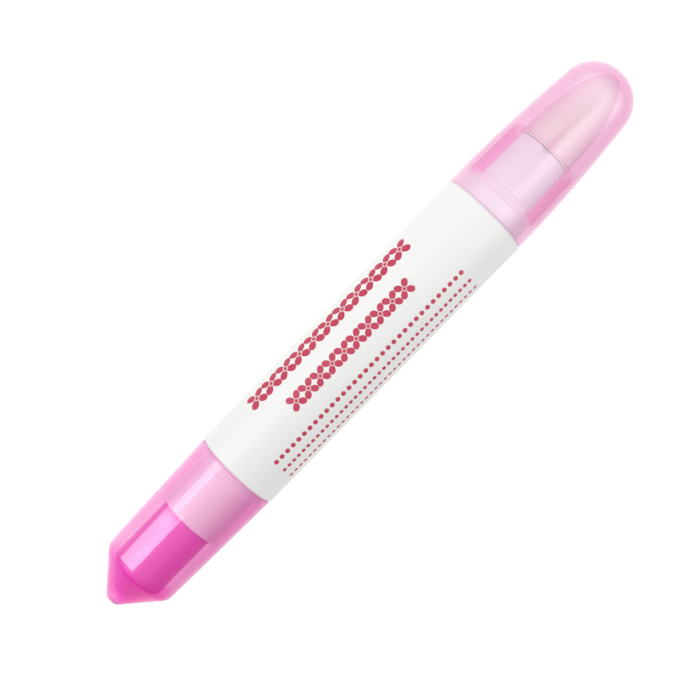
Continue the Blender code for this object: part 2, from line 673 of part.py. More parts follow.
pieces = [
    build_barrel(pen_axis, white),
    build_front_cap(pen_axis, pale_pink),
    build_liner(pen_axis, liner_cream),
    build_holder(pen_axis, lilac),
    build_wick(pen_axis, wick_fibre),
    build_reservoir(pen_axis, wadding),
    build_film(pen_axis, film),
    build_rear_cap(pen_axis, pink),
    build_cup(pen_axis, magenta),
    build_plug(pen_axis, pale_plug),
]

nib = build_nib("nib", pen_axis, felt)
nib.location = (0, 0, NIB_TAIL_Z)
pieces.append(nib)
for index in range(SPARE_NIB_COUNT):
    spare = build_nib(f"spare_nib_{index + 1}", pen_axis, felt)
    turn = math.tau * index / SPARE_NIB_COUNT
    spare.location = (SPARE_NIB_PITCH * math.cos(turn), SPARE_NIB_PITCH * math.sin(turn),
                      PLUG_NOSE_Z + SPARE_SEATED_LENGTH)
    spare.rotation_euler = (math.pi, 0, turn)
    pieces.append(spare)

bpy.context.view_layer.update()
for piece in pieces:
    harden(piece)
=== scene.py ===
import math

import bmesh
import bpy
from mathutils import Matrix, Vector


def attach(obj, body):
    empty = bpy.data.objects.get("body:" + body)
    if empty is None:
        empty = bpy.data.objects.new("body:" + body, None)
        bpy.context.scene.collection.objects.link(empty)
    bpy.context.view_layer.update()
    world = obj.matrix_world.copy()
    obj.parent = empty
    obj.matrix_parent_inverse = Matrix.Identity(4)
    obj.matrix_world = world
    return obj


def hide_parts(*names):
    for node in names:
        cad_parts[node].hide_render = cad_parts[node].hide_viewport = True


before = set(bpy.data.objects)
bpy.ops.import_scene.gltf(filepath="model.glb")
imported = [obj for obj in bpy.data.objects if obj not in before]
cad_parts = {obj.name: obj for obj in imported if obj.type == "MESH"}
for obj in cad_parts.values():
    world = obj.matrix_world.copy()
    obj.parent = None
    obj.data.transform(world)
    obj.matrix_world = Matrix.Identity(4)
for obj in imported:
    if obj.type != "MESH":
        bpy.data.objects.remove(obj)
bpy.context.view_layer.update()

# Barrel. One white polypropylene tube, a little wider at its front end, moulded with a lead-in at
# each mouth. Rosettes and rows of dots are pad-printed along it in crimson ink.
MM = 0.001
AXIS_HEIGHT = 7.95 * MM
FINE_FACETS = 144
ROUND_STEPS = 6
MERGE_DISTANCE = 0.0005 * MM
SHARP_ANGLE = math.radians(32)
GLOSS_SPREAD = 0.06
BARREL_REAR_X = -30.05 * MM
BARREL_FRONT_X = 27.95 * MM
BARREL_REAR_R = 7.55 * MM
BARREL_FRONT_R = 7.95 * MM
BARREL_BORE_R = 6.0 * MM
BARREL_LEAD_IN = 0.2 * MM
BARREL_EDGE_ROUND = 0.25 * MM


def rounded(corners):
    """Outline points from (x, radius) corners; a third number rounds that corner."""
    points = []
    for index, corner in enumerate(corners):
        here = Vector(corner[:2])
        if len(corner) == 2:
            points.append(here)
            continue
        back = (Vector(corners[index - 1][:2]) - here).normalized()
        ahead = (Vector(corners[(index + 1) % len(corners)][:2]) - here).normalized()
        half = back.angle(ahead) / 2
        centre = here + (back + ahead).normalized() * corner[2] / math.sin(half)
        start = here + back * corner[2] / math.tan(half) - centre
        end = here + ahead * corner[2] / math.tan(half) - centre
        sweep = start.angle_signed(end)
        points += [centre + Matrix.Rotation(-sweep * step / ROUND_STEPS, 2) @ start
                   for step in range(ROUND_STEPS + 1)]
    return points


class Wire:
    """One socket of a node tree. Arithmetic between wires and numbers adds Math nodes."""

    def __init__(self, tree, socket=None):
        self.tree = tree
        self.socket = socket

    def node(self, kind, inputs=None, output=0, **settings):
        """Add a node: its settings first, then the values or wires of its sockets."""
        made = self.tree.nodes.new(kind)
        for key, value in settings.items():
            setattr(made, key, value)
        for key, value in (inputs or {}).items():
            if isinstance(value, Wire):
                self.tree.links.new(value.socket, made.inputs[key])
            else:
                made.inputs[key].default_value = value
        return Wire(self.tree, made.outputs[output] if len(made.outputs) else None)

    def math(self, operation, *values, clamp=False):
        """Add a Math node on wires and numbers."""
        return self.node("ShaderNodeMath", dict(enumerate(values)), operation=operation,
                         use_clamp=clamp)

    def __add__(self, other):
        return self.math("ADD", self, other)

    def __sub__(self, other):
        return self.math("SUBTRACT", self, other)

    def __rsub__(self, other):
        return self.math("SUBTRACT", other, self)

    def __mul__(self, other):
        return self.math("MULTIPLY", self, other)

    def __truediv__(self, other):
        return self.math("DIVIDE", self, other)

    def __rtruediv__(self, other):
        return self.math("DIVIDE", other, self)

    def __pow__(self, other):
        return self.math("POWER", self, other)

    __radd__ = __add__
    __rmul__ = __mul__

    def below(self, edge, blur):
        """1 where this is under the edge, 0 where it is a blur further, and even between them."""
        return self.math("DIVIDE", edge + blur - self, blur, clamp=True)

    def above(self, edge, blur):
        """1 where this is over the edge, 0 where it is a blur less, and even between them."""
        return self.math("DIVIDE", self - edge + blur, blur, clamp=True)


def new_tree(name, sockets):
    """A Geometry Nodes tree with its named inputs and one geometry output."""
    tree = bpy.data.node_groups.new(name, "GeometryNodeTree")
    for label, kind in sockets:
        tree.interface.new_socket(label, in_out="INPUT", socket_type="NodeSocket" + kind)
    tree.interface.new_socket("Geometry", in_out="OUTPUT", socket_type="NodeSocketGeometry")
    given = tree.nodes.new("NodeGroupInput")
    return tree, Wire(tree), {label: Wire(tree, given.outputs[label]) for label, _ in sockets}


def end_tree(start, shape, material):
    """Close a tree with real geometry in its material."""
    real = start.node("GeometryNodeRealizeInstances", {"Geometry": shape})
    painted = start.node("GeometryNodeSetMaterial", {"Geometry": real, "Material": material})
    start.node("NodeGroupOutput", {0: painted})


def keep_mesh(name, source):
    """Turn an object with live modifiers into a plain one at the origin."""
    depsgraph = bpy.context.evaluated_depsgraph_get()
    mesh = bpy.data.meshes.new_from_object(source.evaluated_get(depsgraph))
    bpy.data.objects.remove(source)
    mesh.name = name
    piece = bpy.data.objects.new(name, mesh)
    bpy.context.scene.collection.objects.link(piece)
    return piece


def grown(name, seed_mesh, tree, values, edge_round=0):
    """Run a tree on a mesh, round its sharp edges if asked, and keep the result."""
    source = bpy.data.objects.new(name + "_source", seed_mesh)
    bpy.context.scene.collection.objects.link(source)
    modifier = source.modifiers.new("grow", "NODES")
    modifier.node_group = tree
    for item in tree.interface.items_tree:
        if item.in_out == "INPUT" and item.name in values:
            modifier[item.identifier] = values[item.name]
    if edge_round:
        bevel = source.modifiers.new("edges", "BEVEL")
        bevel.width = edge_round
        bevel.segments = 2
    return keep_mesh(name, source)


def settle(piece):
    """Close seams, turn faces outward, and shade smooth but for sharp edges."""
    shape = bmesh.new()
    shape.from_mesh(piece.data)
    bmesh.ops.remove_doubles(shape, verts=shape.verts, dist=MERGE_DISTANCE)
    bmesh.ops.dissolve_degenerate(shape, dist=MERGE_DISTANCE / 2, edges=shape.edges)
    bmesh.ops.recalc_face_normals(shape, faces=shape.faces)
    shape.to_mesh(piece.data)
    shape.free()
    piece.data.shade_smooth()
    piece.data.set_sharp_from_angle(angle=SHARP_ANGLE)
    return piece


lathe, start, given = new_tree("turned_piece", [
    ("Geometry", "Geometry"), ("Facets", "Int"), ("Axis Height", "Float"),
    ("Material", "Material")])
count = start.node("GeometryNodeAttributeDomainSize", {"Geometry": given["Geometry"]})
grid = start.node("GeometryNodeMeshGrid", {"Vertices X": given["Facets"] + 1, "Vertices Y": count})
index = start.node("GeometryNodeInputIndex")
column = start.math("FLOOR", index / count)
place = start.node("GeometryNodeSampleIndex", {
    "Geometry": given["Geometry"], "Value": start.node("GeometryNodeInputPosition"),
    "Index": index - column * count}, data_type="FLOAT_VECTOR", domain="POINT")
along = start.node("ShaderNodeSeparateXYZ", {0: place})
out = start.node("ShaderNodeSeparateXYZ", {0: place}, output=2)
turn = column / given["Facets"] * math.tau
spun = start.node("ShaderNodeCombineXYZ", {
    0: along, 1: out * start.math("SINE", turn),
    2: out * start.math("COSINE", turn) + given["Axis Height"]})
shell = start.node("GeometryNodeSetPosition", {"Geometry": grid, "Position": spun})
end_tree(start, shell, given["Material"])


def turned(name, points, material, facets=FINE_FACETS, closed=True, axis_height=AXIS_HEIGHT):
    """Turn an outline of (x, radius) points about a lengthwise axis into a closed solid."""
    path = list(points) + ([points[0]] if closed else [])
    mesh = bpy.data.meshes.new(name + "_outline")
    mesh.from_pydata([(x, 0, radius) for x, radius in path], [], [])
    return settle(grown(name, mesh, lathe, {
        "Facets": facets, "Axis Height": axis_height, "Material": material}))


def new_material(name, **constants):
    """A material with one Principled shader, whose constants are set on its own sockets."""
    material = bpy.data.materials.new(name)
    material.use_nodes = True
    shader = material.node_tree.nodes["Principled BSDF"]
    for key, value in constants.items():
        shader.inputs[key.replace("_", " ")].default_value = value
    return material, Wire(material.node_tree), shader


def feed(shader, key, wire):
    """Link a wire into one of the shader's sockets."""
    wire.tree.links.new(wire.socket, shader.inputs[key])


def blended(start, factor, low, high):
    """A colour between two, each a tuple or a wire."""
    colours = [colour if isinstance(colour, Wire) else (*colour, 1) for colour in (low, high)]
    return start.node("ShaderNodeMix", {"Factor": factor, 6: colours[0], 7: colours[1]},
                      output=2, data_type="RGBA")


def pen_coordinates(start):
    """Place on the pen: object coordinates, length along it, radius, and angle round it."""
    coordinates = start.node("ShaderNodeTexCoord", output="Object")
    x, y, z = (start.node("ShaderNodeSeparateXYZ", {0: coordinates}, output=axis)
               for axis in range(3))
    rise = z - AXIS_HEIGHT
    radius = start.math("SQRT", y * y + rise * rise)
    return coordinates, x, radius, start.math("ARCTAN2", 0 - y, rise)


def moulded(start, shader, coordinates, roughness, depth=0.02 * MM):
    """The faint orange peel and uneven gloss of a moulded plastic skin."""
    peel = start.node("ShaderNodeTexNoise", {"Vector": coordinates, "Scale": 420.0, "Detail": 3.0})
    haze = start.node("ShaderNodeTexNoise", {"Vector": coordinates, "Scale": 130.0, "Detail": 4.0})
    feed(shader, "Roughness", haze * GLOSS_SPREAD + (roughness - GLOSS_SPREAD / 2))
    feed(shader, "Normal", start.node("ShaderNodeBump", {
        "Height": peel, "Strength": 0.5, "Distance": depth}))
    return haze


# Barrel whites, mixed by a random haze and by a painted shade that darkens toward the rear
BARREL_WHITES = ((0.765, 0.765, 0.75), (0.84, 0.84, 0.825))
WHITE_HAZE_SHARE = 0.4
FRONT_PAINTED_LIGHT_SHARE = 0.6
PRINT_CRIMSON = (0.50, 0.035, 0.085)
PRINT_BLUR = 0.12 * MM
PETALS = 4
PETAL_POINT = 0.7
# Parts of a rosette, as shares of its height
PETAL_REACH_SHARE = 0.62
PETAL_START_SHARE = 0.17
EYE_SHARE = 0.09
# Rosette rows: middle angle, height, first and last x, number of rosettes
ROSETTE_ROWS = ((-0.845, 3.3 * MM, -20.6 * MM, 15.7 * MM, 11),
                (-0.115, 2.7 * MM, -16.0 * MM, 11.4 * MM, 10))
# Dot rows: middle angle, dot radius, first and last x, number of dots
DOT_ROWS = ((0.505, 0.36 * MM, -24.6 * MM, 18.8 * MM, 34),
            (0.805, 0.30 * MM, -24.6 * MM, 18.8 * MM, 40),
            (1.115, 0.30 * MM, -24.6 * MM, 18.8 * MM, 40))

barrel_plastic, start, shader = new_material("barrel_plastic", IOR=1.38)
coordinates, x, radius, angle = pen_coordinates(start)
haze = moulded(start, shader, coordinates, roughness=0.46)
skin = radius.above(BARREL_BORE_R + BARREL_LEAD_IN * 2, BARREL_LEAD_IN)


def cell_place(row_angle, first_x, last_x, repeats):
    """Place within one repeat of a printed row, along and across it, and a mask of the row."""
    pitch = (last_x - first_x) / repeats
    along = (start.math("FRACT", (x - first_x) / pitch) - 0.5) * pitch
    across = (angle - row_angle) * radius
    return along, across, x.above(first_x, PRINT_BLUR) * x.below(last_x, PRINT_BLUR)


ink = None
for row_angle, height, first_x, last_x, repeats in ROSETTE_ROWS:
    along, across, inside = cell_place(row_angle, first_x, last_x, repeats)
    reach = start.math("SQRT", along * along + across * across)
    turn = start.math("ARCTAN2", across, along)
    leaf = start.math("ABSOLUTE", start.math("SINE", turn * (PETALS / 2)))
    petals = reach.below(leaf ** PETAL_POINT * (height * PETAL_REACH_SHARE), PRINT_BLUR)
    petals = petals * reach.above(height * PETAL_START_SHARE, PRINT_BLUR)
    eye = reach.below(height * EYE_SHARE, PRINT_BLUR)
    rosettes = start.math("MAXIMUM", petals, eye) * inside
    ink = rosettes if ink is None else start.math("MAXIMUM", ink, rosettes)
for row_angle, dot_radius, first_x, last_x, repeats in DOT_ROWS:
    along, across, inside = cell_place(row_angle, first_x, last_x, repeats)
    reach = start.math("SQRT", along * along + across * across)
    ink = start.math("MAXIMUM", ink, reach.below(dot_radius, PRINT_BLUR) * inside)
# Painted shade: the white is painted darker toward the barrel's rear and lighter toward its front
painted_front_light = x.above(BARREL_FRONT_X, BARREL_FRONT_X - BARREL_REAR_X)
white = blended(start, haze * WHITE_HAZE_SHARE + painted_front_light * FRONT_PAINTED_LIGHT_SHARE, *BARREL_WHITES)
feed(shader, "Base Color", blended(start, ink * skin, white, PRINT_CRIMSON))

barrel = turned("barrel_tube", rounded([
    (BARREL_FRONT_X, BARREL_BORE_R + BARREL_LEAD_IN),
    (BARREL_FRONT_X, BARREL_FRONT_R, BARREL_EDGE_ROUND),
    (BARREL_REAR_X, BARREL_REAR_R, BARREL_EDGE_ROUND),
    (BARREL_REAR_X, BARREL_BORE_R + BARREL_LEAD_IN),
    (BARREL_REAR_X + BARREL_LEAD_IN, BARREL_BORE_R),
    (BARREL_FRONT_X - BARREL_LEAD_IN, BARREL_BORE_R),
]), barrel_plastic)
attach(barrel, "pen_body")
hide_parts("barrel")

# Barrel ribs. Six low ribs, moulded with the barrel along its bore, hold the reservoir in the
# middle and let air pass along it.
RIB_HEIGHT = 0.7 * MM
RIB_WIDTH = 0.9 * MM
RIB_COUNT = 6
RIB_REAR_X = -21.8 * MM
RIB_FRONT_X = 18.7 * MM
RIB_SUNK = 0.15 * MM
RIB_EDGE_ROUND = 0.12 * MM

bars, start, given = new_tree("bars_round_an_axis", [
    ("Geometry", "Geometry"), ("Count", "Int"), ("Phase", "Float"), ("Inner Radius", "Float"),
    ("Outer Radius", "Float"), ("Width", "Float"), ("Rear", "Float"), ("Front", "Float"),
    ("Axis Height", "Float"), ("Material", "Material")])
size = start.node("ShaderNodeCombineXYZ", {
    0: given["Front"] - given["Rear"], 1: given["Width"],
    2: given["Outer Radius"] - given["Inner Radius"]})
bar = start.node("GeometryNodeMeshCube", {"Size": size})
lift = start.node("ShaderNodeCombineXYZ", {
    0: (given["Front"] + given["Rear"]) * 0.5,
    2: (given["Outer Radius"] + given["Inner Radius"]) * 0.5})
raised = start.node("GeometryNodeTransform", {"Geometry": bar, "Translation": lift})
axis_point = start.node("ShaderNodeCombineXYZ", {2: given["Axis Height"]})
stack = start.node("GeometryNodeMeshLine", {
    "Count": given["Count"], "Start Location": axis_point, "Offset": (0, 0, 0)})
turn = (start.node("GeometryNodeInputIndex") + given["Phase"]) / given["Count"] * math.tau
ring = start.node("GeometryNodeInstanceOnPoints", {
    "Points": stack, "Instance": raised,
    "Rotation": start.node("ShaderNodeCombineXYZ", {0: turn})})
end_tree(start, ring, given["Material"])


def ring_of_bars(name, material, count, phase, inner, outer, width, rear, front, edge_round):
    """Straight bars spaced evenly round the pen's axis."""
    return settle(grown(name, bpy.data.meshes.new(name + "_seed"), bars, {
        "Count": count, "Phase": phase, "Inner Radius": inner, "Outer Radius": outer,
        "Width": width, "Rear": rear, "Front": front, "Axis Height": AXIS_HEIGHT,
        "Material": material}, edge_round))


ribs = ring_of_bars(
    "barrel_ribs", barrel_plastic, RIB_COUNT, phase=0.5, inner=BARREL_BORE_R - RIB_HEIGHT,
    outer=BARREL_BORE_R + RIB_SUNK, width=RIB_WIDTH, rear=RIB_REAR_X, front=RIB_FRONT_X,
    edge_round=RIB_EDGE_ROUND)
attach(ribs, "pen_body")

# Reservoir. A rod of bonded polyester wadding that holds the remover, bored at the front for the
# wick, and cut square so that loose fibre ends stand at both faces.
SMALL_FACETS = 48
RESERVOIR_R = 4.65 * MM
RESERVOIR_REAR_X = RIB_REAR_X
RESERVOIR_FRONT_X = RIB_FRONT_X
RESERVOIR_EDGE_ROUND = 0.35 * MM
RESERVOIR_BORE_ROUND = 0.15 * MM
FIT_GAP = 0.25 * MM
WICK_R = 0.749 * MM
WICK_BURIED_LENGTH = 6.0 * MM
WICK_REAR_X = RESERVOIR_FRONT_X - WICK_BURIED_LENGTH
STRAND_SHARE = 0.6
FIBRE_ROUGHNESS = 0.78
FIBRE_ROUGHNESS_SPREAD = 0.2


def fibrous(name, low, high, stretch, strength, **constants):
    """Felted fibre: strands along the pen that differ in shade and stand out of the surface."""
    material, start, shader = new_material(name, **constants)
    coordinates = start.node("ShaderNodeTexCoord", output="Object")
    drawn = start.node("ShaderNodeMapping", {"Vector": coordinates, "Scale": (stretch, 1, 1)})
    strand = start.node("ShaderNodeTexNoise", {"Vector": drawn, "Scale": 5200.0, "Detail": 4.0})
    clump = start.node("ShaderNodeTexNoise", {"Vector": drawn, "Scale": 900.0, "Detail": 2.0})
    mixed = strand * STRAND_SHARE + clump * (1 - STRAND_SHARE)
    feed(shader, "Base Color", blended(start, mixed, low, high))
    feed(shader, "Roughness", mixed * FIBRE_ROUGHNESS_SPREAD + FIBRE_ROUGHNESS)
    feed(shader, "Normal", start.node("ShaderNodeBump", {
        "Height": mixed, "Strength": strength, "Distance": 0.1 * MM}))
    return material


wadding = fibrous("wadding", low=(0.70, 0.62, 0.68), high=(0.90, 0.84, 0.88), stretch=0.12,
                  strength=0.8)
reservoir = turned("reservoir_wadding", rounded([
    (WICK_REAR_X - FIT_GAP, 0),
    (WICK_REAR_X - FIT_GAP, WICK_R + FIT_GAP),
    (RESERVOIR_FRONT_X, WICK_R + FIT_GAP, RESERVOIR_BORE_ROUND),
    (RESERVOIR_FRONT_X, RESERVOIR_R, RESERVOIR_EDGE_ROUND),
    (RESERVOIR_REAR_X, RESERVOIR_R, RESERVOIR_EDGE_ROUND),
    (RESERVOIR_REAR_X, 0),
]), wadding, closed=False)
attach(reservoir, "pen_body")
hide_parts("reservoir")

FIBRE_LENGTH = 0.18 * MM
FIBRE_R = 0.05 * MM
FIBRE_LEAN = 0.5
FIBRE_FIELD_INSET = 0.5 * MM
FIBRES_PER_SQUARE_METRE = 6.0e6
FIBRE_SEED = 7

tufts, start, given = new_tree("fibre_ends", [
    ("Geometry", "Geometry"), ("Density", "Float"), ("Fibre Radius", "Float"),
    ("Fibre Length", "Float"), ("Seed", "Int"), ("Material", "Material")])
spread = start.node("GeometryNodeDistributePointsOnFaces", {
    "Mesh": given["Geometry"], "Density": given["Density"], "Seed": given["Seed"]})
strand = start.node("GeometryNodeMeshCylinder", {
    "Vertices": 5, "Radius": given["Fibre Radius"], "Depth": given["Fibre Length"]})
lean = start.node("FunctionNodeRandomValue", {
    "Min": (-FIBRE_LEAN, math.pi / 2 - FIBRE_LEAN, 0),
    "Max": (FIBRE_LEAN, math.pi / 2 + FIBRE_LEAN, 0),
    "Seed": given["Seed"]}, data_type="FLOAT_VECTOR")
stood = start.node("GeometryNodeInstanceOnPoints", {
    "Points": spread, "Instance": strand, "Rotation": lean})
end_tree(start, stood, given["Material"])

ends = bmesh.new()
for face_x in (RESERVOIR_FRONT_X, RESERVOIR_REAR_X):
    bmesh.ops.create_circle(
        ends, cap_ends=True, segments=SMALL_FACETS, radius=RESERVOIR_R - FIBRE_FIELD_INSET,
        matrix=Matrix.Translation((face_x, 0, AXIS_HEIGHT)) @ Matrix.Rotation(math.pi / 2, 4, "Y"))
ends_mesh = bpy.data.meshes.new("fibre_field")
ends.to_mesh(ends_mesh)
ends.free()
fibre_ends = settle(grown("reservoir_fibre_ends", ends_mesh, tufts, {
    "Density": FIBRES_PER_SQUARE_METRE, "Fibre Radius": FIBRE_R, "Fibre Length": FIBRE_LENGTH,
    "Seed": FIBRE_SEED, "Material": wadding}))
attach(fibre_ends, "pen_body")

# Reservoir film. A clear polyester sleeve, shrunk round the wadding and lapped along one seam,
# that keeps the remover in the fibre.
FILM_R = 5.05 * MM
FILM_WALL = 0.2 * MM
FILM_END_GAP = 0.2 * MM
FILM_EDGE_ROUND = 0.06 * MM
LAP_WIDTH = 1.8 * MM
LAP_RISE = 0.08 * MM
LAP_TURN = 0.12
FILM_ALPHA = 0.25
FILM_EDGE_ALPHA = 0.5
FILM_ROUGHNESS = 0.12
FILM_ROUGHNESS_SPREAD = 0.2

film_clear, start, shader = new_material("film_clear", Base_Color=(0.92, 0.92, 0.95, 1), IOR=1.45)
coordinates = start.node("ShaderNodeTexCoord", output="Object")
crinkle = start.node("ShaderNodeTexNoise", {"Vector": coordinates, "Scale": 260.0, "Detail": 3.0})
facing = start.node("ShaderNodeLayerWeight", {"Blend": 0.5}, output="Facing")
feed(shader, "Alpha", facing * FILM_EDGE_ALPHA + FILM_ALPHA)
feed(shader, "Roughness", crinkle * FILM_ROUGHNESS_SPREAD + FILM_ROUGHNESS)
feed(shader, "Normal", start.node("ShaderNodeBump", {
    "Height": crinkle, "Strength": 0.6, "Distance": 0.1 * MM}))
film = turned("reservoir_film_sleeve", rounded([
    (RESERVOIR_FRONT_X - FILM_END_GAP, FILM_R - FILM_WALL, FILM_EDGE_ROUND),
    (RESERVOIR_FRONT_X - FILM_END_GAP, FILM_R, FILM_EDGE_ROUND),
    (RESERVOIR_REAR_X + FILM_END_GAP, FILM_R, FILM_EDGE_ROUND),
    (RESERVOIR_REAR_X + FILM_END_GAP, FILM_R - FILM_WALL, FILM_EDGE_ROUND),
]), film_clear)
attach(film, "pen_body")
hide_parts("reservoir_film")
lap = ring_of_bars(
    "reservoir_film_lap", film_clear, 1, phase=LAP_TURN, inner=FILM_R - LAP_RISE,
    outer=FILM_R + LAP_RISE, width=LAP_WIDTH, rear=RESERVOIR_REAR_X + FILM_END_GAP,
    front=RESERVOIR_FRONT_X - FILM_END_GAP, edge_round=LAP_RISE / 2)
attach(lap, "pen_body")

# Transfer wick. A thin rod of bonded fibre that feeds the nib's tail. Its rear end is pushed into
# the wadding, and its front end stands in the hole of the holder's stop.
WICK_FRONT_X = 36.25 * MM
WICK_EDGE_ROUND = 0.2 * MM

wick_fibre = fibrous("wick_bonded_fibre", low=(0.66, 0.64, 0.62), high=(0.86, 0.84, 0.82),
                     stretch=0.05, strength=0.9)
wick = turned("transfer_wick_rod", rounded([
    (WICK_REAR_X, 0),
    (WICK_REAR_X, WICK_R, WICK_EDGE_ROUND),
    (WICK_FRONT_X, WICK_R, WICK_EDGE_ROUND),
    (WICK_FRONT_X, 0),
]), wick_fibre, facets=SMALL_FACETS, closed=False)
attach(wick, "pen_body")
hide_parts("transfer_wick")

# Nib holder. One hollow lilac polypropylene moulding, snapped into the front of the barrel on two
# beads: a flange that fills the cap, a narrower collar with a vent notch across its shoulder, and
# a nose that seals in the liner round the nib.
SNAP_R = 5.75 * MM
BEAD_HEIGHT = 0.12 * MM
BEAD_WIDTH = 0.9 * MM
FRONT_SEAT_X = 28.2 * MM
STOP_RING_R = 7.35 * MM
RING_GAP = 0.02 * MM
HOLDER_BEADS_X = (26.15 * MM, 23.45 * MM)
HOLDER_FLANGE_X = 31.0 * MM
HOLDER_FLANGE_R = 6.66 * MM
HOLDER_COLLAR_X = 33.05 * MM
HOLDER_COLLAR_R = 4.9 * MM
HOLDER_SHOULDER_X = 42.0 * MM
HOLDER_NOSE_X = 43.5 * MM
HOLDER_NOSE_R = 4.05 * MM
HOLDER_PLUG_X = 18.95 * MM
HOLDER_WALL = 1.2 * MM
SOCKET_R = 1.5 * MM
SOCKET_WALL = 0.9 * MM
SOCKET_END_X = 36.3 * MM
WICK_STOP_LENGTH = 1.2 * MM
WICK_HOLE_R = WICK_R + FIT_GAP
NOTCH_WIDTH = 2.0 * MM
NOTCH_DEPTH = 0.9 * MM
NOTCH_DROP = 0.45 * MM
CUT_OVERRUN = 0.5 * MM
HOLDER_NOSE_ROUND = 0.4 * MM
HOLDER_SHOULDER_ROUND = 0.25 * MM
HOLDER_BLEND_ROUND = 0.3 * MM
HOLDER_TUBE_ROUND = 0.2 * MM
HOLDER_MOUTH_ROUND = 0.15 * MM
HOLDER_EDGE_ROUND = 0.1 * MM
HOLDER_LILACS = ((0.84, 0.80, 0.86), (0.88, 0.84, 0.90))
# Painted light: a paler lilac laid on the chamfer, and partly on the flange, against their shade
HOLDER_LIT = (1.0, 0.97, 1.0)
FLANGE_LIT_SHARE = 0.4
CHAMFER_BLUR = 0.4 * MM


def bead(from_x):
    """A low rounded snap bead, running to the rear from the given place."""
    top = SNAP_R + BEAD_HEIGHT
    return [(from_x, SNAP_R), (from_x - BEAD_WIDTH / 3, top, BEAD_HEIGHT),
            (from_x - BEAD_WIDTH * 2 / 3, top, BEAD_HEIGHT), (from_x - BEAD_WIDTH, SNAP_R)]


def cutter(shape, name):
    """An object that only cuts others, from a bmesh, which it frees."""
    mesh = bpy.data.meshes.new(name)
    bmesh.ops.recalc_face_normals(shape, faces=shape.faces)
    shape.to_mesh(mesh)
    shape.free()
    made = bpy.data.objects.new(name, mesh)
    bpy.context.scene.collection.objects.link(made)
    return made


def cut(piece, cutters):
    """Cut shapes out of a piece, and keep the result as one mesh under its name."""
    for tool in cutters:
        modifier = piece.modifiers.new(tool.name, "BOOLEAN")
        modifier.object = tool
    name = piece.name
    piece.name = name + "_uncut"
    piece = keep_mesh(name, piece)
    for tool in cutters:
        bpy.data.objects.remove(tool)
    return settle(piece)


holder_plastic, start, shader = new_material("holder_plastic", IOR=1.42)
coordinates, x, *_ = pen_coordinates(start)
haze = moulded(start, shader, coordinates, roughness=0.4)
lilac = blended(start, haze, *HOLDER_LILACS)
# Painted light: the chamfer, and less of it the flange, are painted paler against their shade in
# the cap
flange = x.below(HOLDER_FLANGE_X, CHAMFER_BLUR)
chamfer = x.above(HOLDER_FLANGE_X + CHAMFER_BLUR, CHAMFER_BLUR)
chamfer = chamfer * x.below(HOLDER_COLLAR_X - CHAMFER_BLUR, CHAMFER_BLUR)
feed(shader, "Base Color",
     blended(start, chamfer + flange * FLANGE_LIT_SHARE, lilac, HOLDER_LIT))
holder = turned("nib_holder_moulding", rounded([
    (HOLDER_NOSE_X, SOCKET_R, HOLDER_MOUTH_ROUND),
    (HOLDER_NOSE_X, HOLDER_NOSE_R, HOLDER_NOSE_ROUND),
    (HOLDER_SHOULDER_X, HOLDER_NOSE_R, HOLDER_EDGE_ROUND),
    (HOLDER_SHOULDER_X, HOLDER_COLLAR_R, HOLDER_SHOULDER_ROUND),
    (HOLDER_COLLAR_X, HOLDER_COLLAR_R, HOLDER_BLEND_ROUND),
    (HOLDER_FLANGE_X, HOLDER_FLANGE_R, HOLDER_BLEND_ROUND),
    (FRONT_SEAT_X, HOLDER_FLANGE_R),
    (FRONT_SEAT_X - RING_GAP, STOP_RING_R),
    (BARREL_FRONT_X + RING_GAP, STOP_RING_R),
    (BARREL_FRONT_X + RING_GAP, SNAP_R),
    *bead(HOLDER_BEADS_X[0]),
    *bead(HOLDER_BEADS_X[1]),
    (HOLDER_PLUG_X + BEAD_WIDTH, SNAP_R, HOLDER_BLEND_ROUND),
    (HOLDER_PLUG_X, SNAP_R - BEAD_WIDTH / 2, HOLDER_EDGE_ROUND),
    (HOLDER_PLUG_X, SNAP_R - HOLDER_WALL, HOLDER_EDGE_ROUND),
    (HOLDER_FLANGE_X - HOLDER_WALL, SNAP_R - HOLDER_WALL),
    (HOLDER_COLLAR_X, HOLDER_COLLAR_R - HOLDER_WALL),
    (HOLDER_SHOULDER_X - HOLDER_WALL, HOLDER_COLLAR_R - HOLDER_WALL, HOLDER_BLEND_ROUND),
    (HOLDER_SHOULDER_X - HOLDER_WALL, SOCKET_R + SOCKET_WALL, HOLDER_BLEND_ROUND),
    (SOCKET_END_X - WICK_STOP_LENGTH, SOCKET_R + SOCKET_WALL, HOLDER_TUBE_ROUND),
    (SOCKET_END_X - WICK_STOP_LENGTH, WICK_HOLE_R, HOLDER_MOUTH_ROUND),
    (SOCKET_END_X, WICK_HOLE_R, HOLDER_EDGE_ROUND),
    (SOCKET_END_X, SOCKET_R),
]), holder_plastic)
wedge = bmesh.new()
notch_low_z = AXIS_HEIGHT + HOLDER_COLLAR_R - NOTCH_DROP
notch_high_z = AXIS_HEIGHT + HOLDER_COLLAR_R + CUT_OVERRUN
notch_corners = [
    (HOLDER_SHOULDER_X + CUT_OVERRUN, -NOTCH_WIDTH / 2), (HOLDER_SHOULDER_X, -NOTCH_WIDTH / 2),
    (HOLDER_SHOULDER_X - NOTCH_DEPTH, 0),
    (HOLDER_SHOULDER_X, NOTCH_WIDTH / 2), (HOLDER_SHOULDER_X + CUT_OVERRUN, NOTCH_WIDTH / 2)]
floor_face = wedge.faces.new([wedge.verts.new((x, y, notch_low_z)) for x, y in notch_corners])
raised = bmesh.ops.extrude_face_region(wedge, geom=[floor_face])["geom"]
bmesh.ops.translate(wedge, vec=(0, 0, notch_high_z - notch_low_z),
                    verts=[item for item in raised if isinstance(item, bmesh.types.BMVert)])
holder = cut(holder, [cutter(wedge, "vent_notch")])
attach(holder, "pen_body")
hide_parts("nib_holder")

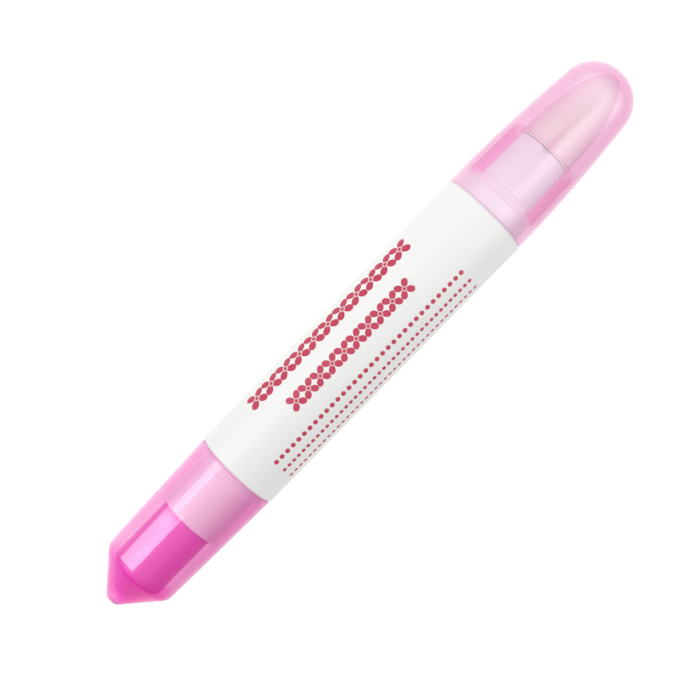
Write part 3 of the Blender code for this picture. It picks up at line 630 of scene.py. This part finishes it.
# Nib. A pulled rod of white felt with a slanted writing face, pushed into the holder's socket.
# It is shaped once, lying along its own axis with its tail at the origin.
NIB_R = 1.299 * MM
NIB_LENGTH = 11.3 * MM
NIB_TAIL_X = 36.5 * MM
NIB_TIP_R = 0.5 * MM
NIB_TIP_LENGTH = 1.7 * MM
NIB_TIP_ROUND = 0.15 * MM
NIB_BLEND_ROUND = 0.6 * MM
NIB_TAIL_CHAMFER = 0.2 * MM
NIB_TAIL_ROUND = 0.1 * MM
NIB_SLANT_DEPTH = 1.5 * MM
NIB_SLANT_ANGLE = math.radians(38)
NIB_FACETS = 64

felt = fibrous("nib_felt", low=(0.74, 0.72, 0.68), high=(0.92, 0.90, 0.86), stretch=0.2,
               strength=1.0, Sheen_Weight=0.3)
nib = turned("nib_tip", rounded([
    (NIB_LENGTH, 0),
    (NIB_LENGTH, NIB_TIP_R, NIB_TIP_ROUND),
    (NIB_LENGTH - NIB_TIP_LENGTH, NIB_R, NIB_BLEND_ROUND),
    (NIB_TAIL_CHAMFER, NIB_R, NIB_TAIL_ROUND),
    (0, NIB_R - NIB_TAIL_CHAMFER),
    (0, 0),
]), felt, facets=NIB_FACETS, closed=False, axis_height=0)
shape = bmesh.new()
shape.from_mesh(nib.data)
slant = Vector((math.cos(NIB_SLANT_ANGLE), 0, -math.sin(NIB_SLANT_ANGLE)))
bmesh.ops.bisect_plane(shape, geom=[*shape.verts, *shape.edges, *shape.faces], clear_outer=True,
                       plane_co=(NIB_LENGTH - NIB_SLANT_DEPTH, 0, -NIB_R), plane_no=slant)
bmesh.ops.holes_fill(shape, edges=shape.edges, sides=0)
shape.to_mesh(nib.data)
shape.free()
spare_mesh = nib.data.copy()
nib.data.transform(Matrix.Translation((NIB_TAIL_X, 0, AXIS_HEIGHT)))
settle(nib)
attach(nib, "nib_body")
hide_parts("nib")

# Front cap. A thick translucent pink shell with a domed end, moulded in one, that pushes on over
# the holder's flange. Its wide bore stops at a step, where the seat of the liner begins.
FRONT_LIP_X = 28.2 * MM
FRONT_TIP_X = 60.0 * MM
FRONT_LIP_R = 7.9 * MM
FRONT_LIP_BORE_R = 7.0 * MM
FRONT_STEP_BORE_R = 6.54 * MM
LIP_ROUND = 0.2 * MM
DOME_R = 6.5 * MM
DOME_DEPTH = 6.1 * MM
DOME_STEPS = 32
SIDE_STEPS = 24
SIDE_POWER = 1.9
OGIVE_STEPS = 36
LINER_MOUTH_X = 42.25 * MM
LINER_TIP_X = 58.75 * MM
MILK = 0.06
MILK_AT_EDGE = 0.20
GLOSS_STRAIGHT = 0.04
GLOSS_POWER = 5
# Slants at which a wall shows its full dye, and at which other effects start and are full
SLANT_FULL = 0.38
GAP_SLANT_START = 0.27
GAP_SLANT_END = 0.35
SEAT_SLANT_START = 0.16
SEAT_SLANT_END = 0.55
RIM_SLANT_START = 0.40
RIM_SLANT_END = 0.55
# Body colour: how much of the darker one there is, and what the pen's right side, as painted
# shade, and the swirl add to it
DARK_SHARE = 0.4
PAINTED_SIDE_SHADE_SHARE = 0.5
DARK_SWIRL_SHARE = 0.2
# Masks: radii that part the inner faces from the outside, ends of the gap and of the solid dome,
# and how far the seat's ogive is taken to reach, squared and as a share of its size
FRONT_BORE_FACE_R = 7.1 * MM
FRONT_STEP_FACE_R = 6.6 * MM
FRONT_GAP_REAR_X = 32.6 * MM
FRONT_GAP_FRONT_X = LINER_MOUTH_X - 0.6 * MM
FRONT_GAP_FADE = 1.2 * MM
FRONT_SOLID_X = LINER_MOUTH_X - 0.5 * MM
FRONT_SOLID_FADE = 0.2 * MM
SEAT_REACH = 1.04
SEAT_REACH_BLUR = 0.02
BORE_BLUR = 0.1 * MM
FACE_BLUR = 0.05 * MM
STEP_BLUR = 0.02 * MM


def ogive(mouth_radius, mouth_x, tip_x):
    """Half an ellipse, from the axis at the tip to the mouth."""
    turns = [math.pi / 2 * step / OGIVE_STEPS for step in range(OGIVE_STEPS + 1)]
    return [Vector((mouth_x + (tip_x - mouth_x) * math.cos(turn), mouth_radius * math.sin(turn)))
            for turn in turns]


def dyed_shell(name, bodies, dye, deep_dye, gloss_roughness, thin, solid, gap_share, seat_share,
               places, uneven, milkiness=1, solid_milkiness=1, edge_share=0):
    """Dyed clear plastic: tinted light passes it, a milky body and a gloss lie over that.

    bodies are its lighter and darker colour by reflected light, a painted light and a painted
    shade: more of the darker one is laid on the pen's right side, and a random swirl moves it.
    dye and deep_dye are its colours by passing light, through the outside and through the inner
    faces. thin and solid are shares of dye looked at straight and at a slant, for a wall and for
    the solid end. gap_share and seat_share are the shares on inner faces seen at a slant, over
    the empty space and in the solid end, and edge_share is what the outside adds where it is seen
    edge on over the empty space. places takes the place on the pen and gives masks of the solid
    end, of the inner faces and of the empty space. uneven is a painted shade: how much more of
    the dye the pen's right side shows. milkiness and solid_milkiness scale the milk, at the
    edges and in the solid end.
    """
    material, start, shader = new_material(name, IOR=1.45)
    coordinates, x, radius, angle = pen_coordinates(start)
    moulded(start, shader, coordinates, roughness=0.45, depth=0.008 * MM)
    swirl = start.node("ShaderNodeTexNoise", {"Vector": coordinates, "Scale": 60.0, "Detail": 2.0})
    # Painted shade: the pen's right side gets more of the darker body colour, and below, more dye
    lean = start.math("SINE", angle)
    darker = lean * PAINTED_SIDE_SHADE_SHARE + swirl * DARK_SWIRL_SHARE + DARK_SHARE
    feed(shader, "Base Color", blended(start, darker, *bodies))
    facing = start.node("ShaderNodeLayerWeight", {"Blend": 0.5}, output="Facing")
    is_solid, is_inner, over_gap = places(x, radius)

    thin_share = facing.above(SLANT_FULL, SLANT_FULL) * (thin[1] - thin[0]) + thin[0]
    solid_share = facing.above(SLANT_FULL, SLANT_FULL) * (solid[1] - solid[0]) + solid[0]
    # Painted shade: uneven lays more dye on the pen's right side
    outer_share = (thin_share + (solid_share - thin_share) * is_solid) * (lean * uneven + 1)
    rim = facing.above(RIM_SLANT_END, RIM_SLANT_END - RIM_SLANT_START)
    outer_share = outer_share + rim * over_gap * edge_share
    on_gap = facing.above(GAP_SLANT_END, GAP_SLANT_END - GAP_SLANT_START) * over_gap
    on_seat = facing.above(SEAT_SLANT_END, SEAT_SLANT_END - SEAT_SLANT_START) * is_solid
    inner_share = on_gap * gap_share + on_seat * seat_share
    milk = (facing * (MILK_AT_EDGE * milkiness) + MILK) * (1 - is_inner)
    milk = milk * (1 - is_solid * (1 - solid_milkiness))
    mirrored = (facing ** GLOSS_POWER * (1 - GLOSS_STRAIGHT) + GLOSS_STRAIGHT) * (1 - is_inner)

    clear, dyed, deep = (
        start.node("ShaderNodeBsdfTransparent", {"Color": (*colour, 1)})
        for colour in ((1, 1, 1), dye, deep_dye))
    milky = Wire(start.tree, shader.outputs[0])
    gloss = start.node("ShaderNodeBsdfAnisotropic", {
        "Color": (1, 1, 1, 1), "Roughness": gloss_roughness})
    outer = start.node("ShaderNodeMixShader", {0: outer_share, 1: clear, 2: dyed})
    inner = start.node("ShaderNodeMixShader", {0: inner_share, 1: clear, 2: deep})
    passing = start.node("ShaderNodeMixShader", {0: is_inner, 1: outer, 2: inner})
    clouded = start.node("ShaderNodeMixShader", {0: milk, 1: passing, 2: milky})
    finish = start.node("ShaderNodeMixShader", {0: mirrored, 1: clouded, 2: gloss})
    feed(material.node_tree.nodes["Material Output"], "Surface", finish)
    return material


slope = SIDE_POWER * (FRONT_LIP_R - DOME_R) / (FRONT_TIP_X - FRONT_LIP_X - DOME_DEPTH)
blend = math.atan(slope * DOME_DEPTH / DOME_R)
front_outer = []
for step in range(DOME_STEPS + 1):
    bend = math.pi / 2 - (math.pi / 2 - blend) * step / DOME_STEPS
    front_outer.append(Vector((FRONT_TIP_X - DOME_DEPTH + DOME_DEPTH * math.sin(bend),
                               DOME_R * math.cos(bend))))
front_outer[0].y = 0
side_start = front_outer[-1].copy()
for step in range(1, SIDE_STEPS):
    share = 1 - step / SIDE_STEPS
    front_outer.append(Vector((
        FRONT_LIP_X + (side_start.x - FRONT_LIP_X) * share,
        FRONT_LIP_R - (FRONT_LIP_R - side_start.y) * share ** SIDE_POWER)))

seat_length = LINER_TIP_X + FIT_GAP - LINER_MOUTH_X
seat_r = HOLDER_COLLAR_R + FIT_GAP


def front_places(x, radius):
    """Masks of the front cap's solid dome, of its inner faces, and of the gap at the collar."""
    bore = x.below(LINER_MOUTH_X + STEP_BLUR / 2, STEP_BLUR)
    bore = bore * radius.below(FRONT_BORE_FACE_R, BORE_BLUR)
    step = x.below(LINER_MOUTH_X + STEP_BLUR, STEP_BLUR)
    step = step * radius.below(FRONT_STEP_FACE_R, FACE_BLUR)
    reach = (x - LINER_MOUTH_X) / seat_length
    out = radius / seat_r
    seat = (reach * reach + out * out).below(SEAT_REACH, SEAT_REACH_BLUR)
    inner = bore.math("MAXIMUM", bore, seat.math("MAXIMUM", seat, step))
    gap = x.above(FRONT_GAP_REAR_X, FRONT_GAP_FADE) * x.below(FRONT_GAP_FRONT_X, FACE_BLUR)
    return x.above(FRONT_SOLID_X, FRONT_SOLID_FADE), inner, gap


# The darker body colour and uneven are painted shade on the pen's right side
front_plastic = dyed_shell(
    "front_cap_plastic", bodies=((0.92, 0.44, 0.68), (0.86, 0.38, 0.60)), dye=(0.71, 0.22, 0.51),
    deep_dye=(0.90, 0.15, 0.60), gloss_roughness=0.30, thin=(0.04, 0.34), solid=(0.14, 0.41),
    gap_share=0.30, seat_share=0.12, places=front_places, uneven=0.1, edge_share=0.11)
# The first corner of the lip only says where its round comes from, and is dropped again
front_cap = turned("front_cap_shell", [
    *front_outer,
    *rounded([
        (FRONT_LIP_X + 2 * LIP_ROUND, FRONT_LIP_R),
        (FRONT_LIP_X, FRONT_LIP_R, LIP_ROUND),
        (FRONT_LIP_X, FRONT_LIP_BORE_R, LIP_ROUND),
        (LINER_MOUTH_X, FRONT_STEP_BORE_R)])[1:],
    *reversed(ogive(seat_r, LINER_MOUTH_X, LINER_TIP_X + FIT_GAP)),
], front_plastic, closed=False)
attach(front_cap, "front_cap_body")
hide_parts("front_cap")

# Front cap liner. A thin pale cup of softer plastic, pressed into the seat, whose mouth closes on
# the holder's nose and keeps the nib from drying.
LINER_LIP_X = 42.05 * MM
LINER_WALL = 0.6 * MM
# Liner colours, mixed by a random haze and by a painted light that grows toward the tip
LINER_PALES = ((0.87, 0.84, 0.80), (1.0, 0.98, 0.97))
LINER_HAZE_SHARE = 0.3
LINER_TIP_LIGHT_SHARE = 0.7
LINER_TIP_LIGHT_X = LINER_TIP_X - 3 * MM
LINER_TIP_LIGHT_FADE = 8 * MM
# A pinker streak along the top, from the mouth
TOP_STREAK_PINK = (0.80, 0.52, 0.62)
TOP_STREAK_SHARE = 0.5
TOP_STREAK_ANGLE = 0.05
TOP_STREAK_ANGLE_BLUR = 0.13
TOP_STREAK_END_X = 44 * MM
TOP_STREAK_FADE = 5 * MM

liner_plastic, start, shader = new_material("liner_plastic", IOR=1.45)
coordinates, x, _, angle = pen_coordinates(start)
haze = moulded(start, shader, coordinates, roughness=0.35)
# Painted light: the liner is painted paler toward its tip, for light that comes through it there
tip = x.above(LINER_TIP_LIGHT_X, LINER_TIP_LIGHT_FADE)
pale = blended(start, haze * LINER_HAZE_SHARE + tip * LINER_TIP_LIGHT_SHARE, *LINER_PALES)
top_streak = start.math("ABSOLUTE", angle).below(TOP_STREAK_ANGLE, TOP_STREAK_ANGLE_BLUR)
top_streak = top_streak * x.below(TOP_STREAK_END_X, TOP_STREAK_FADE) * TOP_STREAK_SHARE
feed(shader, "Base Color", blended(start, top_streak, pale, TOP_STREAK_PINK))
liner = turned("front_cap_liner_shell", [
    *ogive(HOLDER_COLLAR_R, LINER_MOUTH_X, LINER_TIP_X),
    (LINER_LIP_X, HOLDER_COLLAR_R), (LINER_LIP_X, HOLDER_COLLAR_R - LINER_WALL),
    *reversed(ogive(HOLDER_COLLAR_R - LINER_WALL, LINER_MOUTH_X, LINER_TIP_X - LINER_WALL)),
], liner_plastic, closed=False)
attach(liner, "front_cap_body")
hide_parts("front_cap_liner")

# Rear plug. One pale pink moulding that closes the barrel and carries the rear cap: a snap skirt
# with two beads, a flange, a collar, and a nose bored with three sockets for the spare nibs.
REAR_SEAT_X = -30.3 * MM
PLUG_STOP_RING_R = 6.95 * MM
PLUG_FLANGE_X = -31.8 * MM
PLUG_FLANGE_R = 6.395 * MM
PLUG_CHAMFER_LENGTH = 0.6 * MM
PLUG_COLLAR_X = PLUG_FLANGE_X - PLUG_CHAMFER_LENGTH
PLUG_SHOULDER_X = -41.5 * MM
PLUG_NOSE_X = -42.8 * MM
PLUG_COLLAR_R = 5.85 * MM
PLUG_NOSE_R = 3.94 * MM
PLUG_SKIRT_X = -22.05 * MM
PLUG_BEADS_X = (-24.65 * MM, -27.35 * MM)
PLUG_FLOOR_X = -34.3 * MM
PLUG_WALL = 1.1 * MM
PLUG_NOSE_ROUND = 1.1 * MM
PLUG_SHOULDER_ROUND = 0.3 * MM
PLUG_BLEND_ROUND = 0.2 * MM
PLUG_EDGE_ROUND = 0.1 * MM
PLUG_PINKS = ((0.88, 0.78, 0.84), (0.94, 0.84, 0.90))
# Painted light: a paler pink laid on the plug's chamfer against its shade
PLUG_LIT = (1.0, 0.95, 1.0)
PLUG_CHAMFER_BLUR = 0.2 * MM
SPARE_PITCH = 1.991 * MM
SPARE_SOCKET_END_X = -35.3 * MM
SPARE_COUNT = 3
SOCKET_CHAMFER = 0.2 * MM

plug_plastic, start, shader = new_material("plug_plastic", IOR=1.45)
coordinates, x, *_ = pen_coordinates(start)
haze = moulded(start, shader, coordinates, roughness=0.4)
# Painted light: the chamfer is painted paler against the shade it gets inside the cap
chamfer = x.above(PLUG_COLLAR_X + PLUG_CHAMFER_BLUR / 2, PLUG_CHAMFER_BLUR)
chamfer = chamfer * x.below(PLUG_FLANGE_X - PLUG_CHAMFER_BLUR / 2, PLUG_CHAMFER_BLUR)
feed(shader, "Base Color", blended(start, chamfer, blended(start, haze, *PLUG_PINKS), PLUG_LIT))
plug = turned("rear_plug_moulding", rounded([
    (PLUG_FLOOR_X, 0),
    (PLUG_FLOOR_X, PLUG_NOSE_R),
    (PLUG_SHOULDER_X + PLUG_WALL, PLUG_NOSE_R, PLUG_BLEND_ROUND),
    (PLUG_SHOULDER_X + PLUG_WALL, SNAP_R - PLUG_WALL, PLUG_BLEND_ROUND),
    (PLUG_SKIRT_X, SNAP_R - PLUG_WALL, PLUG_EDGE_ROUND),
    (PLUG_SKIRT_X, SNAP_R - BEAD_WIDTH / 2, PLUG_EDGE_ROUND),
    (PLUG_SKIRT_X - BEAD_WIDTH, SNAP_R, PLUG_SHOULDER_ROUND),
    *bead(PLUG_BEADS_X[0]),
    *bead(PLUG_BEADS_X[1]),
    (BARREL_REAR_X - RING_GAP, SNAP_R),
    (BARREL_REAR_X - RING_GAP, PLUG_STOP_RING_R),
    (REAR_SEAT_X + RING_GAP, PLUG_STOP_RING_R),
    (REAR_SEAT_X, PLUG_FLANGE_R),
    (PLUG_FLANGE_X, PLUG_FLANGE_R, PLUG_BLEND_ROUND),
    (PLUG_COLLAR_X, PLUG_COLLAR_R, PLUG_BLEND_ROUND),
    (PLUG_SHOULDER_X, PLUG_COLLAR_R, PLUG_SHOULDER_ROUND),
    (PLUG_SHOULDER_X, PLUG_NOSE_R, PLUG_EDGE_ROUND),
    (PLUG_NOSE_X, PLUG_NOSE_R, PLUG_NOSE_ROUND),
    (PLUG_NOSE_X, 0),
]), plug_plastic, closed=False)


def radial(index):
    """Direction of one spare nib from the pen's axis; the first lies straight below it."""
    turn = math.tau * index / SPARE_COUNT
    return Vector((0, math.sin(turn), -math.cos(turn)))


# Each socket is cut by a bore and by a short cone that chamfers its mouth
SOCKET_CUTS = ((SOCKET_R, SPARE_SOCKET_END_X),
               (SOCKET_R + 2 * SOCKET_CHAMFER, PLUG_NOSE_X + SOCKET_CHAMFER))
sockets = []
for index in range(SPARE_COUNT):
    for mouth_radius, front_x in SOCKET_CUTS:
        shape = bmesh.new()
        rear_x = PLUG_NOSE_X - SOCKET_CHAMFER
        place = radial(index) * SPARE_PITCH + Vector(((rear_x + front_x) / 2, 0, AXIS_HEIGHT))
        bmesh.ops.create_cone(
            shape, cap_ends=True, segments=SMALL_FACETS, depth=front_x - rear_x,
            radius1=mouth_radius, radius2=SOCKET_R,
            matrix=Matrix.Translation(place) @ Matrix.Rotation(math.pi / 2, 4, "Y"))
        sockets.append(cutter(shape, f"spare_socket_{len(sockets)}"))
plug = cut(plug, sockets)
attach(plug, "pen_body")
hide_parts("rear_plug")

# Plug fins. Four thin webs inside the snap skirt, moulded with the plug, that stiffen it and stop
# the reservoir.
FIN_WIDTH = 0.9 * MM
FIN_COUNT = 4

fins = ring_of_bars(
    "rear_plug_fins", plug_plastic, FIN_COUNT, phase=0.5, inner=0,
    outer=SNAP_R - PLUG_WALL + RIB_SUNK, width=FIN_WIDTH, rear=PLUG_FLOOR_X - RIB_SUNK,
    front=PLUG_SKIRT_X - FIT_GAP, edge_round=RIB_EDGE_ROUND)
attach(fins, "pen_body")

# Spare nibs. Three more pulled felt nibs, cut like the first, stood tail first in the plug's
# sockets with their slanted faces outward.
SPARE_TAIL_X = -35.5 * MM

for index in range(SPARE_COUNT):
    out = radial(index)
    along = Vector((1, 0, 0))
    turn = Matrix((-along, out.cross(along), -out)).transposed().to_4x4()
    place = out * SPARE_PITCH + Vector((SPARE_TAIL_X, 0, AXIS_HEIGHT))
    mesh = spare_mesh.copy()
    mesh.transform(Matrix.Translation(place) @ turn)
    spare = bpy.data.objects.new(f"spare_nib_tip_{index + 1}", mesh)
    bpy.context.scene.collection.objects.link(spare)
    settle(spare)
    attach(spare, f"spare_nib_{index + 1}_body")
    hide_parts(f"spare_nib_{index + 1}")

# Rear cap. A deeper pink translucent shell with a blunt cone, which pushes on over the plug's
# flange. Its wide bore stops at a step, where the seat of the cup begins.
REAR_TIP_X = -60.0 * MM
REAR_LIP_X = -30.3 * MM
REAR_LIP_R = 7.5 * MM
REAR_LIP_BORE_R = 6.7 * MM
REAR_STEP_BORE_R = 6.28 * MM
REAR_SHOULDER_R = 6.85 * MM
REAR_CONE_LENGTH = 6.6 * MM
REAR_TIP_R = 1.25 * MM
REAR_SHOULDER_ROUND = 2.5 * MM
REAR_TIP_ROUND = 0.3 * MM
CUP_R = 4.84 * MM
CUP_MOUTH_X = -41.75 * MM
CUP_CONE_X = REAR_TIP_X + 6.1 * MM
CUP_TIP_X = REAR_TIP_X + 2.0 * MM
CUP_CONE_ROUND = 0.6 * MM
# Masks: radii that part the inner faces from the outside, ends of the gap and of the solid cone
REAR_BORE_FACE_R = 6.82 * MM
REAR_STEP_FACE_R = 6.35 * MM
REAR_GAP_FRONT_X = -32.5 * MM
REAR_GAP_REAR_X = CUP_MOUTH_X + 0.1 * MM
REAR_GAP_FADE = 0.8 * MM
REAR_SOLID_X = REAR_TIP_X + REAR_CONE_LENGTH - 0.5 * MM
REAR_SOLID_FADE = 1.5 * MM
REAR_TIP_CLEAR_X = REAR_TIP_X + 2.0 * MM
REAR_TIP_CLEAR_FADE = 2.4 * MM
cone_slope = (REAR_SHOULDER_R - REAR_TIP_R) / REAR_CONE_LENGTH


def cup_line(offset):
    """Radius, cone start, tip radius and tip of the cup's outside, moved outward by an offset."""
    cone_x = CUP_CONE_X - offset * (math.hypot(1, cone_slope) - 1) / cone_slope
    tip_x = CUP_TIP_X - offset
    return CUP_R + offset, cone_x, CUP_R + offset - (cone_x - tip_x) * cone_slope, tip_x


seat_r, seat_cone_x, seat_tip_r, seat_tip_x = cup_line(FIT_GAP)


def rear_places(x, radius):
    """Masks of the rear cap's solid cone, of its inner faces, and of the gap at the collar."""
    bore = x.above(CUP_MOUTH_X - STEP_BLUR / 2, STEP_BLUR)
    bore = bore * radius.below(REAR_BORE_FACE_R, BORE_BLUR)
    step = x.above(CUP_MOUTH_X - STEP_BLUR, STEP_BLUR)
    step = step * radius.below(REAR_STEP_FACE_R, FACE_BLUR)
    seat_cone = (x - seat_tip_x) * cone_slope + seat_tip_r
    seat = radius.below(seat_r + FACE_BLUR, FACE_BLUR)
    seat = seat * (radius - seat_cone).below(FACE_BLUR, FACE_BLUR)
    seat = seat * x.above(seat_tip_x - FACE_BLUR, FACE_BLUR)
    inner = bore.math("MAXIMUM", bore, seat.math("MAXIMUM", seat, step))
    gap = x.below(REAR_GAP_FRONT_X, REAR_GAP_FADE) * x.above(REAR_GAP_REAR_X, FACE_BLUR)
    cone = x.below(REAR_SOLID_X, REAR_SOLID_FADE)
    cone = cone * x.above(REAR_TIP_CLEAR_X, REAR_TIP_CLEAR_FADE)
    return cone, inner, gap


# The darker body colour and uneven are painted shade on the pen's right side
rear_plastic = dyed_shell(
    "rear_cap_plastic", bodies=((0.92, 0.34, 0.68), (0.62, 0.09, 0.36)), dye=(0.84, 0.07, 0.57),
    deep_dye=(1.0, 0.15, 0.56), gloss_roughness=0.09, thin=(0.16, 0.45), solid=(0.40, 0.96),
    gap_share=0.10, seat_share=0.0, places=rear_places, uneven=0.25, milkiness=2.4,
    solid_milkiness=0.25)
rear_cap = turned("rear_cap_shell", rounded([
    (seat_tip_x, 0),
    (seat_tip_x, seat_tip_r),
    (seat_cone_x, seat_r, CUP_CONE_ROUND),
    (CUP_MOUTH_X, seat_r),
    (CUP_MOUTH_X, REAR_STEP_BORE_R),
    (REAR_LIP_X, REAR_LIP_BORE_R, LIP_ROUND),
    (REAR_LIP_X, REAR_LIP_R, LIP_ROUND),
    (REAR_TIP_X + REAR_CONE_LENGTH, REAR_SHOULDER_R, REAR_SHOULDER_ROUND),
    (REAR_TIP_X, REAR_TIP_R, REAR_TIP_ROUND),
    (REAR_TIP_X, 0),
]), rear_plastic, closed=False)
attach(rear_cap, "rear_cap_body")
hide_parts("rear_cap")

# Rear cap cup. A magenta inner cup, pressed into the cap's seat, that covers the spare nibs
# and closes on the plug's nose.
CUP_WALL = 0.55 * MM
CUP_LIP_X = -41.55 * MM
CUP_EDGE_ROUND = 0.1 * MM
CUP_MAGENTAS = ((0.83, 0.04, 0.54), (0.90, 0.05, 0.60))
CUP_CONE_MAGENTA = (1.0, 0.16, 0.92)
CUP_CONE_BLUR = 0.8 * MM

cup_plastic, start, shader = new_material("cup_plastic", IOR=1.45)
coordinates, x, *_ = pen_coordinates(start)
haze = moulded(start, shader, coordinates, roughness=0.3)
magenta = blended(start, haze, *CUP_MAGENTAS)
cone = x.below(CUP_CONE_X - CUP_CONE_BLUR / 2, CUP_CONE_BLUR)
feed(shader, "Base Color", blended(start, cone, magenta, CUP_CONE_MAGENTA))
in_r, in_cone_x, in_tip_r, in_tip_x = cup_line(-CUP_WALL)
out_r, out_cone_x, out_tip_r, out_tip_x = cup_line(0)
cup = turned("rear_cap_cup_shell", rounded([
    (in_tip_x, 0),
    (in_tip_x, in_tip_r),
    (in_cone_x, in_r, CUP_CONE_ROUND),
    (CUP_LIP_X, in_r, CUP_EDGE_ROUND),
    (CUP_LIP_X, out_r, CUP_EDGE_ROUND),
    (out_cone_x, out_r, CUP_CONE_ROUND),
    (out_tip_x, out_tip_r, CUP_EDGE_ROUND),
    (out_tip_x, 0),
]), cup_plastic, closed=False)
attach(cup, "rear_cap_body")
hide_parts("rear_cap_cup")

# Studio floor. A pale matt sweep of paper that the pen lies on, bright enough to fall away to
# white all round it.
FLOOR_HALF = 40.0
FLOOR_GREYS = ((0.34, 0.34, 0.34), (0.38, 0.38, 0.38))

floor_corners = [(x * FLOOR_HALF, y * FLOOR_HALF, 0)
                 for x, y in ((-1, -1), (1, -1), (1, 1), (-1, 1))]
floor_mesh = bpy.data.meshes.new("studio_floor")
floor_mesh.from_pydata(floor_corners, [], [(0, 1, 2, 3)])
floor = bpy.data.objects.new("studio_floor", floor_mesh)
bpy.context.scene.collection.objects.link(floor)
floor_paint, start, shader = new_material(
    "floor_paint", Roughness=0.8, Emission_Color=(1, 1, 1, 1), Emission_Strength=0.8)
grain = start.node("ShaderNodeTexNoise", {
    "Vector": start.node("ShaderNodeTexCoord", output="Object"), "Scale": 60.0})
feed(shader, "Base Color", blended(start, grain, *FLOOR_GREYS))
floor_mesh.materials.append(floor_paint)

# Studio light. A white surround, brighter above and on the pen's left, and five strip lights that
# only show as highlights: along the cup, the rear plug, the dome, the dome's tip and the collar.
SURROUND = 0.20
SURROUND_RISE = 1.29
SURROUND_SLOPE = 0.36
SURROUND_LEAST = 0.3
STRIP_AIM_Z = 8.0 * MM
# Strips: name, x, y and z in metres, length along the pen, width across it, and radiance
STRIPS = (("cup_strip", -0.1448, 0.193, 0.238, 0.0755, 0.30, 7.2),
          ("plug_strip", -0.0803, 0.205, 0.228, 0.068, 0.13, 4.0),
          ("front_strip", 0.190, -0.250, 0.255, 0.120, 0.38, 4.9),
          ("tip_strip", 0.455, -0.250, 0.255, 0.110, 0.38, 4.5),
          ("collar_strip", 0.075, -0.220, 0.265, 0.090, 0.32, 3.0))

world = bpy.data.worlds.new("studio_world")
bpy.context.scene.world = world
world.use_nodes = True
start = Wire(world.node_tree)
direction = start.node("ShaderNodeTexCoord", output="Generated")
leftward = start.node("ShaderNodeSeparateXYZ", {0: direction}, output=1)
upward = start.node("ShaderNodeSeparateXYZ", {0: direction}, output=2)
background = world.node_tree.nodes["Background"]
background.inputs["Color"].default_value = (1, 1, 1, 1)
glow = leftward * SURROUND_SLOPE + upward * SURROUND_RISE + SURROUND
feed(background, "Strength", start.math("MAXIMUM", glow, SURROUND_LEAST))

for name, x, y, z, length, width, radiance in STRIPS:
    light = bpy.data.lights.new(name, "AREA")
    light.shape = "RECTANGLE"
    light.size = length
    light.size_y = width
    light.energy = radiance * math.pi * length * width
    lamp = bpy.data.objects.new(name, light)
    bpy.context.scene.collection.objects.link(lamp)
    lamp.visible_diffuse = False
    lamp.location = (x, y, z)
    lamp.rotation_euler = (math.atan2(-y, z - STRIP_AIM_Z), 0, 0)

# Camera. It looks down on the lying pen from the photograph's side, with the front cap to the
# upper right of the picture.
CAMERA_RISE = 230 * MM
CAMERA_X = 2.4 * MM
AIM_X = -3.1 * MM
AIM_Y = 0.36 * MM
PICTURE_TURN = math.radians(45.985)
PICTURE_SIDE = 700
PIXEL = 0.16384 * MM
SENSOR_WIDTH = 36
NEAREST_SHOWN = 10 * MM

camera_data = bpy.data.cameras.new("photo_camera")
camera = bpy.data.objects.new("photo_camera", camera_data)
bpy.context.scene.collection.objects.link(camera)
camera_data.sensor_width = SENSOR_WIDTH
camera_data.lens = SENSOR_WIDTH * CAMERA_RISE / (PICTURE_SIDE * PIXEL)
camera_data.clip_start = NEAREST_SHOWN
eye = Vector((CAMERA_X, 0, AXIS_HEIGHT + CAMERA_RISE))
aim = Vector((AIM_X, AIM_Y, AXIS_HEIGHT))
back = (eye - aim).normalized()
up = Vector((math.sin(PICTURE_TURN), math.cos(PICTURE_TURN), 0))
right = up.cross(back).normalized()
up = back.cross(right)
camera.matrix_world = Matrix.Translation(eye) @ Matrix((right, up, back)).transposed().to_4x4()
bpy.context.scene.camera = camera
bpy.context.scene.view_settings.view_transform = "Standard"
